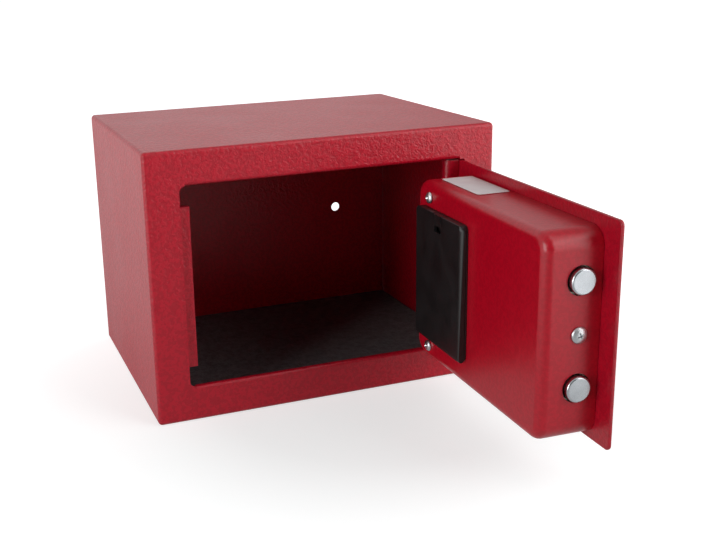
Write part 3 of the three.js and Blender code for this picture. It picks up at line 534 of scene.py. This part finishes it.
def printed_ink(name):
    # Pad-printed ink: a thin dark film, a little uneven in depth.
    tree, shader, place = new_material(name)
    film = add_node(tree, "TexNoise", {"Vector": place, "Scale": 1500, "Detail": 2})
    mottle(tree, shader, film, linear("#17181A"), linear("#26282B"))
    wire(shader, {"Roughness": 0.5})


class SAFE_OT_finishes(bpy.types.Operator):
    """Makes the materials and gives them to the pieces whose shapes are kept"""
    bl_idname = "safe.finishes"
    bl_label = "Finishes"

    def execute(self, context):
        grain, colours = context.scene.safe_sizes.coat_grain, context.scene.safe_colours
        powder_coat("textured_powder_coat", grain, 0.00042, 0.36, linear("#B60623"), linear("#C50A28"))
        powder_coat("satin_powder_coat", grain, 0.0002, 0.3, colours.coat_hollow_painted_shade, colours.coat)
        # The back cover is the same red paint as the door plate; its red is painted paler, a painted light
        # on the cover.
        powder_coat("smooth_powder_coat_painted_lighter", grain, 0.00006, 0.3, linear("#BA0520"), linear("#C40724"))
        moulded_plastic("moulded_black_abs", colours.moulding, 0.42)
        moulded_plastic("moulded_grey_abs", colours.key, 0.38)
        moulded_plastic("moulded_natural_nylon", linear("#DDD8CA"), 0.45)
        moulded_plastic("moulded_dark_nylon", linear("#2A2728"), 0.45)
        plated_metal("polished_nickel_plate", "#BEC0C4", "#AEB1B5", 0.24, 0.3)
        plated_metal("bright_zinc_plate", "#D2D4D6", "#BABDC0", 0.36, 0.5)
        plated_metal("passivated_zinc_plate", "#C2C0B4", "#A8A89C", 0.34, 0.5)
        plated_metal("turned_lock_brass", "#C9A95C", "#B5924A", 0.26, 0.4)
        needled_felt("needled_polyester_felt", colours.felt)
        circuit_laminate("solder_masked_laminate")
        wound_coil("taped_copper_winding")
        shrunk_sleeve("shrunk_cell_sleeve")
        film_label("matt_film_label")
        lens("red_acrylic_lens", "#C8201C")
        lens("green_acrylic_lens", "#2FA845")
        lens("amber_acrylic_lens", "#E0A020")
        printed_ink("pad_printed_ink")
        kept = {
            "textured_powder_coat": ["strike_bar"],
            "passivated_zinc_plate": [
                "hinge_pin_upper", "hinge_pin_lower", "cover_post_upper", "cover_post_lower",
                "bolt_carriage", "bolt_bracket", "guide_strip", "knob_spindle", "solenoid_frame",
                "solenoid_plunger", "lock_nut"],
            "moulded_dark_nylon": ["hinge_washer_upper", "hinge_washer_lower"],
            "moulded_natural_nylon": ["spindle_bush", "keypad_ribbon", "lamp_strip"],
            "turned_lock_brass": ["lock_body", "lock_plug"],
            "solder_masked_laminate": ["keypad_board", "circuit_board"],
            "taped_copper_winding": ["solenoid_coil"],
            "moulded_black_abs": ["battery_tray"],
            "polished_nickel_plate": ["contact_strip_upper", "contact_strip_lower"],
        }
        for finish, nodes in kept.items():
            for node in nodes:
                dress(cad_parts[node].data, finish)
        return {"FINISHED"}


class SAFE_OT_cabinet(bpy.types.Operator):
    """Models the folded cabinet, with its opening and the folded edges above and below it"""
    bl_idname = "safe.cabinet"
    bl_label = "Cabinet"

    def execute(self, context):
        sizes = context.scene.safe_sizes
        low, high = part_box("cabinet_shell")

        def folded(edge):
            return max(vertex.co.y for vertex in edge.verts) < high.y or along(1)(edge)

        shell = block("steel_cabinet", low, high)
        ease(shell, folded, sizes.cabinet_bend, 6)
        inside = block(
            "inside", (low.x + SHEET, low.y + SHEET, low.z + SHEET),
            (high.x - SHEET, high.y + 0.01, high.z - SHEET))
        ease(inside, folded, sizes.cabinet_bend - SHEET, 4)
        opening = block(
            "opening", (-OPENING_SIDE, low.y - 0.01, OPENING_BOTTOM),
            (OPENING_SIDE, low.y + 0.01, OPENING_TOP))
        ease(opening, where(along(1), (0, -0.1, 0)), sizes.opening_corner, 6)
        ease(opening, where(along(1), (0, 0, 0.1)), 0.0012, 3)
        half = OPENING_SIDE - sizes.opening_corner
        bands = [
            block("band", (-half, low.y - 0.01, z - 0.0022), (half, low.y + 0.0022, z + 0.0022))
            for z in (OPENING_BOTTOM, OPENING_TOP)]
        carve(shell, inside, opening, *bands)
        lower = self.fold(low.y, -half, half, 0.0034)
        carve(lower, self.fold(low.y, HINGE.x - 0.011, half, 0.016), how="UNION")
        upper = copy_of(lower, "fold")
        moved(upper, Matrix.Translation((0, 0, 2 * MIDDLE)) @ Matrix.Scale(-1, 4, (0, 0, 1)))
        outward(upper)
        carve(shell, lower, upper, how="UNION")
        fit_out(shell, "textured_powder_coat", "cabinet", "cabinet_paint", "cabinet_shell", on_door=False)
        return {"FINISHED"}

    def fold(self, front, left, right, depth):
        """A stretch of the lower folded edge: up the front, over a bend and back into the cabinet."""
        edge = block("fold", (left, front, 0.0191), (right, front + depth, OPENING_BOTTOM))
        ease(edge, where(along(0), (1, front - 0.001, front + 0.001), (2, 0.022, 0.023)), 0.0022, 6)
        under = block("under", (-0.1, front + SHEET, 0.018), (0.1, front + 0.02, OPENING_BOTTOM - SHEET))
        ease(under, where(along(0), (1, front, front + 0.002), (2, 0.021, 0.023)), 0.001, 4)
        return carve(edge, under)


class SAFE_OT_back_panel(bpy.types.Operator):
    """Models the welded back panel with its two anchor holes"""
    bl_idname = "safe.back_panel"
    bl_label = "Back panel"

    def execute(self, context):
        low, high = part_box("back_panel")
        seam = 0.00025
        panel = block(
            "welded_back_panel", (low.x - seam, low.y, low.z - seam),
            (high.x + seam, high.y, high.z + seam))
        ease(panel, along(1), 0.0016, 4)
        soften(panel, 0.0003)
        for x in (-0.0725, 0.0725):
            carve(panel, rod("hole", (x, low.y - 0.002, 0.0827), 0.006, 0.0035, "Y", 48))
        fit_out(panel, "textured_powder_coat", "cabinet", "cabinet_paint", "back_panel", on_door=False)
        return {"FINISHED"}


class SAFE_OT_mat(bpy.types.Operator):
    """Lays the felt mat on the cabinet's floor"""
    bl_idname = "safe.mat"
    bl_label = "Felt mat"

    def execute(self, context):
        low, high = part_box("floor_mat")
        mat = block("felt_mat", low, high)
        ease(mat, along(2), 0.004, 4)
        ease(mat, rim(2, 1), 0.0012, 3)
        pick(mat, "FACE", looks(2, 1))
        bpy.ops.mesh.inset(thickness=0.004)
        done()
        strips = 19
        for step in range(1, strips):
            self.slice(mat, 0, low.x + (high.x - low.x) * step / strips)
            self.slice(mat, 1, low.y + (high.y - low.y) * step / strips)
        pick(mat, "FACE", looks(2, 1))
        bpy.ops.mesh.subdivide(number_cuts=3)
        done()
        pile = bpy.data.textures.new("felt_pile", "CLOUDS")
        pile.noise_scale = 0.009
        pile.noise_depth = 3
        top = mat.vertex_groups.new(name="top")
        top.add([v.index for v in mat.data.vertices if v.co.z > high.z - 0.0002], 1, "REPLACE")
        modify(mat, "DISPLACE", texture=pile, texture_coords="OBJECT", direction="Z", mid_level=0.75,
               strength=context.scene.safe_sizes.felt_pile, vertex_group="top")
        fit_out(mat, "needled_polyester_felt", "cabinet", "felt", "floor_mat", on_door=False, degrees=60)
        return {"FINISHED"}

    def slice(self, mat, axis, place):
        """Cuts the mat's faces along a plane, which gives the pile's displacement more points."""
        pick(mat, "FACE", every)
        way = Vector([float(axis == i) for i in range(3)])
        bpy.ops.mesh.bisect(plane_co=way * place, plane_no=way)
        done()


class SAFE_OT_door(bpy.types.Operator):
    """Models the door plate and the two curled hinge tubes"""
    bl_idname = "safe.door"
    bl_label = "Door plate and hinges"

    def execute(self, context):
        plate = block("door_steel_plate", (-0.093, FRONT, 0.0235), (0.092, FRONT + 0.002, 0.1475))
        ease(plate, along(1), context.scene.safe_sizes.door_corner, 6)
        ease(plate, rim(1, -1), 0.0006, 3)
        ease(plate, rim(1, 1), 0.0006, 3)
        fit_out(plate, "satin_powder_coat", "door", "door_paint", "door_plate")
        for name, z in (("upper", 0.1295), ("lower", 0.0235)):
            tube = self.curl(f"curled_hinge_{name}", z)
            fit_out(tube, "satin_powder_coat", "door", "door_paint", f"hinge_tube_{name}")
        return {"FINISHED"}

    def curl(self, name, z):
        """A strip curled round the hinge pin, whose straight leg stands on the plate."""
        outer, bore, height = 0.0046, 0.00275, 0.018
        radius = (outer + bore) / 2
        bpy.ops.mesh.primitive_circle_add(vertices=72, radius=radius, location=(HINGE.x, HINGE.y, z))
        tube = named(name)

        def in_slit(vertex):
            turn = math.degrees(math.atan2(vertex.co.y - HINGE.y, vertex.co.x - HINGE.x))
            return -179.5 < turn < -118
        drop(tube, "VERT", in_slit)
        pick(tube, "VERT", lambda vertex: vertex.co.x < HINGE.x - radius + 0.00001)
        bpy.ops.mesh.extrude_region_move(TRANSFORM_OT_translate={"value": (0, ROOT - HINGE.y, 0)})
        done()
        pick(tube, "EDGE", every)
        bpy.ops.mesh.extrude_region_move(TRANSFORM_OT_translate={"value": (0, 0, height)})
        done()
        outward(tube)
        modify(tube, "SOLIDIFY", thickness=outer - bore, offset=0)
        outward(tube)
        soften(tube, 0.0003)
        return tube


class SAFE_OT_back_cover(bpy.types.Operator):
    """Models the drawn cover on the door's back, with its holes and window"""
    bl_idname = "safe.back_cover"
    bl_label = "Back cover"

    def execute(self, context):
        sizes = context.scene.safe_sizes
        cover = block("drawn_back_cover", (COVER_LEFT, ROOT, 0.0267), (0.072, COVER_BACK, 0.1407))
        ease(cover, along(1), sizes.cover_corner, 10)
        ease(cover, rim(1, 1), sizes.cover_edge, 8)
        drop(cover, "FACE", looks(1, -1))
        modify(cover, "SOLIDIFY", thickness=0.001, offset=-1)
        window = slab(
            "window", (BATTERY_X, BATTERY_Z), (0.0304, 0.0309), COVER_BACK - 0.003, COVER_BACK + 0.003)
        ease(window, along(1), 0.0015, 4)
        holes = [
            rod("hole", (COVER_LEFT - 0.003, BOLT_Y, MIDDLE + rise), 0.007, radius, "X")
            for rise, radius in ((BOLT_RISE, 0.00815), (-BOLT_RISE, 0.00815), (0, 0.0023))]
        carve(cover, window, *holes)
        fit_out(cover, "smooth_powder_coat_painted_lighter", "door", "door_paint", "door_back_cover")
        return {"FINISHED"}


class SAFE_OT_screws(bpy.types.Operator):
    """Models the domed screws of the back cover and of the guide bracket"""
    bl_idname = "safe.screws"
    bl_label = "Screws"

    def execute(self, context):
        back = turned_by(self.screw(0.0036, 0.0022), -90, "X")
        for name, z in (("upper", 0.1317), ("lower", 0.0355)):
            made = copy_of(back, f"domed_screw_{name}", (0.053, COVER_BACK + SLACK, z))
            fit_out(made, "bright_zinc_plate", "door", "polished_steel", f"cover_screw_{name}")
        side = turned_by(self.screw(0.0046, 0.002), -90, "Y")
        made = copy_of(side, "bracket_side_screw", (COVER_LEFT - SLACK, BOLT_Y, MIDDLE))
        fit_out(made, "bright_zinc_plate", "door", "polished_steel", "side_screw")
        for master in (back, side):
            bpy.data.objects.remove(master)
        return {"FINISHED"}

    def screw(self, radius, dome):
        """A domed head with a cross recess, on its shank, standing on the origin along +Z."""
        head = ball("screw", (0, 0, 0), radius, 64)
        pick(head, "FACE", every)
        bpy.ops.mesh.bisect(plane_co=(0, 0, 0), plane_no=(0, 0, 1), use_fill=True, clear_inner=True)
        done()
        taper(head, every, (1, 1, dome / radius), (0, 0, 0))
        arms = []
        for turn in (20, 110):
            arm = block(
                "arm", (-0.52 * radius, -0.00042, 0.4 * dome), (0.52 * radius, 0.00042, 1.2 * dome))
            taper(arm, looks(2, -1), (0.35, 0.7, 1), (0, 0, 0.4 * dome))
            arms.append(turned_by(arm, turn, "Z"))
        carve(head, *arms)
        soften(head, 0.00008)
        return join(head, rod("shank", (0, 0, -0.004), 0.0045, 0.0019, "Z", 32))


class SAFE_OT_sticker(bpy.types.Operator):
    """Models the blank film sticker on top of the back cover"""
    bl_idname = "safe.sticker"
    bl_label = "Sticker"

    def execute(self, context):
        label = block("blank_film_sticker", (0.0115, -0.0805, 0.141), (0.0595, -0.0597, 0.14125))
        ease(label, along(2), 0.0012, 4)
        soften(label, 0.00006, 1)
        fit_out(label, "matt_film_label", "door", "sticker", "blank_sticker")
        return {"FINISHED"}


class SAFE_OT_bolts(bpy.types.Operator):
    """Models the two lock bolts"""
    bl_idname = "safe.bolts"
    bl_label = "Bolts"

    def execute(self, context):
        for name, side in (("upper", 1), ("lower", -1)):
            place = (-0.0832, BOLT_Y, MIDDLE + side * BOLT_RISE)
            bolt = rod(f"lock_bolt_{name}", place, 0.0237, 0.00725, "X")
            ease(bolt, rim(0, -1), 0.0012, 3)
            fit_out(bolt, "polished_nickel_plate", "bolts", "polished_steel", f"bolt_{name}")
        return {"FINISHED"}


class SAFE_OT_battery_cover(bpy.types.Operator):
    """Models the battery cover, with its rolled lower edge, snap tab and finger notch"""
    bl_idname = "safe.battery_cover"
    bl_label = "Battery cover"

    def execute(self, context):
        left, right = BATTERY_X - 0.0305, BATTERY_X + 0.0305
        bottom, top, near, far = BATTERY_Z - 0.0415, BATTERY_Z + 0.0415, -0.0474, -0.044
        cover = block("battery_cover_moulding", (left, near, bottom), (right, far, top))
        ease(cover, where(along(1), (2, BATTERY_Z, 1)), 0.003, 5)
        ease(cover, where(along(0), (2, 0, BATTERY_Z)), 0.00168, 6)
        ease(cover, where(rim(1, 1), (0, left - 0.001, left + 0.001)), 0.0026, 8)
        ease(cover, where(rim(1, 1), (0, left + 0.003, 1)), 0.0009, 4)
        wall = 0.0016
        room = block(
            "room", (left + wall, near - 0.002, bottom + 0.0044), (right - wall, far - 0.0018, top - wall))
        ease(room, where(along(2), (0, 0, left + 0.002), (1, far - 0.003, 1)), 0.0018, 4)
        slots = [
            block("slot", (x - 0.0002, near - 0.001, top - 0.006), (x + 0.0002, far + 0.001, top + 0.001))
            for x in (BATTERY_X - 0.006, BATTERY_X + 0.006)]
        grip_left, grip_right = BATTERY_X - 0.0045, BATTERY_X + 0.0045
        notch = block(
            "notch", (grip_left, far - 0.003, top - 0.011), (grip_right, far + 0.001, top - 0.0071))
        ease(notch, along(1), 0.0012, 5)
        carve(cover, room, *slots, notch)
        tab = block("tab", (grip_left, far - 0.0012, top - 0.0034), (grip_right, far + 0.0003, top))
        carve(cover, tab, how="UNION")
        soften(cover, 0.00015, degrees=50)
        fit_out(cover, "moulded_black_abs", "battery_lid", "black_plastic", "battery_cover")
        return {"FINISHED"}


class SAFE_OT_cells(bpy.types.Operator):
    """Models the four cells in the battery tray"""
    bl_idname = "safe.cells"
    bl_label = "Cells"

    def execute(self, context):
        for index in range(4):
            low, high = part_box(f"battery_{index + 1}")
            shut = OPEN.inverted() @ ((low + high) / 2)
            nub_up = index % 2 == 0
            start = low.z if nub_up else low.z + 0.0012
            cell = rod(f"cell_{index + 1}", (shut.x, shut.y, start), 0.0492, 0.007, "Z", 64)
            ease(cell, rim(2, 1), 0.0006, 3)
            ease(cell, rim(2, -1), 0.0006, 3)
            start = high.z - 0.0013 if nub_up else low.z
            join(cell, rod("nub", (shut.x, shut.y, start), 0.0013, 0.0027, "Z", 48))
            fit_out(cell, "shrunk_cell_sleeve", "door", "battery_sleeve", f"battery_{index + 1}")
        return {"FINISHED"}


class SAFE_OT_knob(bpy.types.Operator):
    """Models the knob with its grip and mark, and the rosette behind it"""
    bl_idname = "safe.knob"
    bl_label = "Knob"

    def execute(self, context):
        rosette = rod("knob_rosette_ring", (KNOB_X, FRONT - SLACK - 0.002, MIDDLE), 0.002, 0.023, "Y", 128)
        ease(rosette, rim(1, -1), 0.0008, 3)
        fit_out(rosette, "moulded_black_abs", "door", "black_plastic", "knob_rosette")
        seat = FRONT - 2 * SLACK - 0.002
        end = seat - 0.0174
        knob = rod("knob_and_grip", (KNOB_X, seat - 0.004, MIDDLE), 0.004, 0.019, "Y", 128)
        ease(knob, rim(1, -1), 0.0014, 4)
        grip = slab("grip", (KNOB_X, MIDDLE), (0.017, 0.0055), end, seat - 0.002)
        ease(grip, along(1), 0.0052, 8)
        taper(grip, looks(1, -1), (0.94, 1, 0.82), (KNOB_X, end, MIDDLE))
        ease(grip, rim(1, -1), 0.0016, 5)
        turned_by(grip, KNOB_TURN, "Y", (KNOB_X, 0, MIDDLE))
        carve(knob, grip, how="UNION")
        soften(knob, 0.0003, degrees=40)
        fit_out(knob, "moulded_black_abs", "knob", "black_plastic", "turning_knob")
        mark = block(
            "knob_mark", (KNOB_X + 0.009, seat - 0.01744, MIDDLE - 0.0006),
            (KNOB_X + 0.0145, seat - 0.0173, MIDDLE + 0.0006))
        ease(mark, along(1), 0.0005, 3)
        turned_by(mark, KNOB_TURN, "Y", (KNOB_X, 0, MIDDLE))
        fit_out(mark, "moulded_grey_abs", "knob", "key_plastic")
        return {"FINISHED"}


class SAFE_OT_lock_cap(bpy.types.Operator):
    """Models the cap over the emergency lock"""
    bl_idname = "safe.lock_cap"
    bl_label = "Lock cap"

    def execute(self, context):
        back = FRONT - SLACK
        cap = rod("lock_cap_moulding", (KNOB_X, back - 0.006, LOCK_Z), 0.006, 0.0125, "Y", 128)
        ease(cap, rim(1, -1), 0.0012, 5)
        carve(cap, rod("room", (KNOB_X, back - 0.0045, LOCK_Z), 0.006, 0.0098, "Y", 96))
        carve(cap, ball("nick", (KNOB_X, back - 0.0088, LOCK_Z - 0.0125), 0.004, 48))
        fit_out(cap, "moulded_black_abs", "key_lock_cap", "black_plastic", "lock_cap")
        return {"FINISHED"}


def key_places():
    """Each key's name and legend, and its middle on the shut door, row by row from the top."""
    names = [*"123456789", "clear", "0", "enter"]
    for index, (name, legend) in enumerate(zip(names, "123456789*0#")):
        row, column = divmod(index, 3)
        yield name, legend, KEYPAD_X + (column - 1) * 0.0175, MIDDLE + (1.5 - row) * 0.017 - 0.006


class SAFE_OT_keypad(bpy.types.Operator):
    """Models the keypad's housing and lamps"""
    bl_idname = "safe.keypad"
    bl_label = "Keypad"

    def execute(self, context):
        middle, rear = (KEYPAD_X, MIDDLE), FRONT - SLACK
        housing = slab("keypad_housing_moulding", middle, (0.032, 0.048), KEYPAD_FACE, rear)
        ease(housing, along(1), 0.006, 8)
        ease(housing, rim(1, -1), 0.002, 5)
        room = slab("room", middle, (0.03, 0.046), KEYPAD_FACE + 0.002, rear + 0.002)
        ease(room, along(1), 0.004, 6)
        holes = []
        for name, legend, x, z in key_places():
            hole = slab("hole", (x, z), (0.00705, 0.00655), KEYPAD_FACE - 0.002, KEYPAD_FACE + 0.004)
            ease(hole, along(1), 0.0022, 4)
            holes.append(hole)
        lamps = {"red": KEYPAD_X - 0.013, "amber": KEYPAD_X, "green": KEYPAD_X + 0.013}
        lamp_z = MIDDLE + 0.04
        for x in lamps.values():
            holes.append(rod("hole", (x, KEYPAD_FACE - 0.002, lamp_z), 0.006, 0.0019, "Y", 48))
        carve(housing, room, join(*holes))
        soften(housing, 0.0002, degrees=50)
        fit_out(housing, "moulded_black_abs", "door", "black_plastic", "keypad_housing")
        for tint, x in lamps.items():
            place = (x, KEYPAD_FACE, lamp_z)
            dome = ball(f"lamp_lens_{tint}", place, 0.00162, 48)
            taper(dome, lambda face: face.calc_center_median().y > KEYPAD_FACE, (1, 1.2, 1), place)
            taper(dome, lambda face: face.calc_center_median().y < KEYPAD_FACE, (1, 0.55, 1), place)
            fit_out(dome, f"{tint}_acrylic_lens", "door", "lamp_plastic")
        return {"FINISHED"}


class SAFE_OT_keys(bpy.types.Operator):
    """Models the twelve keys and prints their legends"""
    bl_idname = "safe.keys"
    bl_label = "Keys"

    def execute(self, context):
        master = self.key()
        for name, legend, x, z in key_places():
            key = copy_of(master, f"keycap_{name}", (x, 0, z))
            fit_out(key, "moulded_grey_abs", f"push_{name}", "key_plastic", f"key_{name}")
            bpy.ops.object.text_add(location=(x, KEYPAD_FACE - 0.00158, z), rotation=(math.pi / 2, 0, 0))
            text = bpy.context.active_object
            text.data.body = legend
            text.data.size = context.scene.safe_sizes.legend_height / 0.73
            text.data.align_x = text.data.align_y = "CENTER"
            text.data.extrude = 0.00004
            only(text)
            bpy.ops.object.convert(target="MESH")
            ink = named(f"legend_{name}")
            middle = sum((Vector(corner) for corner in ink.bound_box), Vector()) / 8
            moved(ink, Matrix.Translation((x - middle.x, 0, z - middle.z)))
            fit_out(ink, "pad_printed_ink", f"push_{name}", "black_plastic")
        bpy.data.objects.remove(master)
        return {"FINISHED"}

    def key(self):
        """A key round the origin: a cap with a slightly dished top, on the lip that keeps it in."""
        top, end = KEYPAD_FACE - 0.0016, KEYPAD_FACE + 0.0033
        cap = slab("keycap", (0, 0), (0.00675, 0.00625), top, end)
        ease(cap, along(1), 0.0022, 6)
        ease(cap, rim(1, -1), 0.0007, 3)
        carve(cap, ball("dish", (0, top - 0.05985, 0), 0.06, 96))
        lip = slab("lip", (0, 0), (0.00755, 0.00705), KEYPAD_FACE + 0.0023, end)
        ease(lip, along(1), 0.0022, 4)
        return carve(cap, lip, how="UNION")


class SAFE_OT_stage(bpy.types.Operator):
    """Puts the safe on a white floor under soft lamps, before the camera"""
    bl_idname = "safe.stage"
    bl_label = "Stage"

    def execute(self, context):
        self.floor()
        self.world(context.scene)
        for lamp in LAMPS:
            self.lamp(*lamp)
        self.camera(context.scene)
        return {"FINISHED"}

    def seen(self, tree, gloss):
        """Full to the camera and through glass, a share in gloss, and nothing in the light on the safe."""
        path = add_node(tree, "LightPath").outputs
        gloss = add_node(tree, "Math", (path["Is Glossy Ray"], gloss), operation="MULTIPLY")
        seen = add_node(tree, "Math", (path["Is Camera Ray"], gloss), operation="MAXIMUM")
        return add_node(tree, "Math", (seen, path["Is Transmission Ray"]), operation="MAXIMUM")

    def floor(self):
        """A paper floor that the camera sees white."""
        bpy.ops.mesh.primitive_plane_add(size=30, location=(0, 0, -0.0002))
        floor = named("studio_floor")
        # Matt paper: even and without gloss, with a faint mottle. It throws back less light than white paper
        # would, so the red stays off the floor and the safe's lower parts stay deep. Its grey is painted a
        # little cyan, a painted tint that cancels the red light which the safe throws on it.
        tree, shader, place = new_material("white_paper_sweep")
        cloud = add_node(tree, "TexNoise", {"Vector": place, "Scale": 6, "Detail": 2})
        mottle(tree, shader, cloud, linear("#BDC3C3"), linear("#C1C7C7"))
        # The camera, gloss and glass see the paper lifted to white, least near the safe: a painted shadow
        # round the safe, in which its real shadow also stays. In gloss it is dimmer straight in front, where
        # the room is dark.
        away = add_node(
            tree, "VectorMath", (place, (0.03, -0.09, 0)), operation="DISTANCE").outputs["Value"]
        # Painted shadow: the lift is least within 0.1 m of the safe and full beyond 0.31 m.
        painted_shadow_lift = add_node(tree, "MapRange", (away, 0.1, 0.31, 0.61, 1.0))
        spot = add_node(tree, "SeparateXYZ", (place,)).outputs
        depth = add_node(tree, "MapRange", (spot["Y"], -0.5, -0.2, 0.05, 0.48))
        aside = add_node(tree, "Math", (spot["X"], 0.1), operation="ADD")
        aside = add_node(tree, "Math", (aside,), operation="ABSOLUTE")
        aside = add_node(tree, "MapRange", (aside, 0.16, 0.32, 0.05, 1.0))
        gloss = add_node(tree, "Math", (depth, aside), operation="MAXIMUM")
        painted_shadow_lift = add_node(tree, "Math", (self.seen(tree, gloss), painted_shadow_lift), operation="MULTIPLY")
        wire(shader, {
            "Roughness": 0.9, "Specular IOR Level": 0.1,
            "Emission Color": (1, 1, 1, 1), "Emission Strength": painted_shadow_lift})
        dress(floor.data, "white_paper_sweep")

    def world(self, scene):
        """White all round, with a weak light that comes mostly from behind the safe.

        Gloss sees it darker in front and on the right."""
        world = bpy.data.worlds.new("white_studio")
        world.use_nodes = True
        scene.world = world
        tree = world.node_tree
        tree.nodes.clear()
        way = add_node(tree, "SeparateXYZ", (add_node(tree, "TexCoord").outputs["Generated"],)).outputs
        level = add_node(tree, "MapRange", (way["Y"], 0, 1, 0.045, 0.28))
        front = add_node(tree, "MapRange", (way["Y"], -0.9, 0.1, 0.18, 0.88))
        right = add_node(tree, "MapRange", (way["X"], 0.35, 0.6, 1.0, 0.4))
        gloss = add_node(tree, "Math", (front, right), operation="MULTIPLY")
        both = add_node(tree, "Math", (self.seen(tree, gloss), level), operation="MAXIMUM")
        white = add_node(tree, "Background", {"Color": (1, 1, 1, 1), "Strength": both})
        add_node(tree, "OutputWorld", {"Surface": white})

    def lamp(self, name, place, aim, size, power):
        """A square softbox that looks at a point."""
        bpy.ops.object.light_add(type="AREA", location=place)
        lamp = bpy.context.active_object
        lamp.name = name
        lamp.data.shape = "SQUARE"
        lamp.data.size = size
        lamp.data.energy = power
        lamp.rotation_euler = (Vector(aim) - Vector(place)).to_track_quat("-Z", "Y").to_euler()

    def camera(self, scene):
        """The photograph's view."""
        azimuth, elevation, roll = (math.radians(angle) for angle in CAMERA_TURN)
        back = Vector((
            math.sin(azimuth) * math.cos(elevation), -math.cos(azimuth) * math.cos(elevation),
            math.sin(elevation)))
        right = (-back).cross(Vector((0, 0, 1))).normalized()
        up = right.cross(-back)
        rolled_right = math.cos(roll) * right + math.sin(roll) * up
        rolled_up = -math.sin(roll) * right + math.cos(roll) * up
        bpy.ops.object.camera_add()
        camera = bpy.context.active_object
        camera.name = "studio_camera"
        turn = Matrix((rolled_right, rolled_up, back)).transposed().to_4x4()
        camera.matrix_world = Matrix.Translation(CAMERA_PLACE) @ turn
        width, height = FRAME
        camera.data.sensor_width = SENSOR
        camera.data.lens = LENS * SENSOR / width
        camera.data.shift_x = (width / 2 - LENS_MIDDLE[0]) / width
        camera.data.shift_y = (LENS_MIDDLE[1] - height / 2) / width
        camera.data.clip_start = 0.01
        scene.camera = camera
        scene.view_settings.view_transform = "Standard"


STEPS = (
    SAFE_OT_finishes, SAFE_OT_cabinet, SAFE_OT_back_panel, SAFE_OT_mat, SAFE_OT_door, SAFE_OT_back_cover,
    SAFE_OT_screws, SAFE_OT_sticker, SAFE_OT_bolts, SAFE_OT_battery_cover, SAFE_OT_cells, SAFE_OT_knob,
    SAFE_OT_lock_cap, SAFE_OT_keypad, SAFE_OT_keys, SAFE_OT_stage)


class SAFE_PT_panel(bpy.types.Panel):
    """Lists the safe's steps, sizes and colours"""
    bl_idname = "SAFE_PT_panel"
    bl_label = "Electronic safe"
    bl_space_type = "VIEW_3D"
    bl_region_type = "UI"
    bl_category = "Safe"

    def draw(self, context):
        for step in STEPS:
            self.layout.operator(step.bl_idname, text=step.bl_label)
        for group in (context.scene.safe_sizes, context.scene.safe_colours):
            box = self.layout.box()
            for name in group.bl_rna.properties.keys():
                if name not in ("rna_type", "name"):
                    box.prop(group, name)


CLASSES = (SafeSizes, SafeColours, *STEPS, SAFE_PT_panel)


def register():
    for made in CLASSES:
        bpy.utils.register_class(made)
    bpy.types.Scene.safe_sizes = PointerProperty(type=SafeSizes)
    bpy.types.Scene.safe_colours = PointerProperty(type=SafeColours)


def unregister():
    del bpy.types.Scene.safe_colours
    del bpy.types.Scene.safe_sizes
    for made in reversed(CLASSES):
        bpy.utils.unregister_class(made)


def main():
    register()
    bpy.ops.safe.finishes()
    bpy.ops.safe.cabinet()
    bpy.ops.safe.back_panel()
    bpy.ops.safe.mat()
    bpy.ops.safe.door()
    bpy.ops.safe.back_cover()
    bpy.ops.safe.screws()
    bpy.ops.safe.sticker()
    bpy.ops.safe.bolts()
    bpy.ops.safe.battery_cover()
    bpy.ops.safe.cells()
    bpy.ops.safe.knob()
    bpy.ops.safe.lock_cap()
    bpy.ops.safe.keypad()
    bpy.ops.safe.keys()
    bpy.ops.safe.stage()


if __name__ == "__main__":
    main()
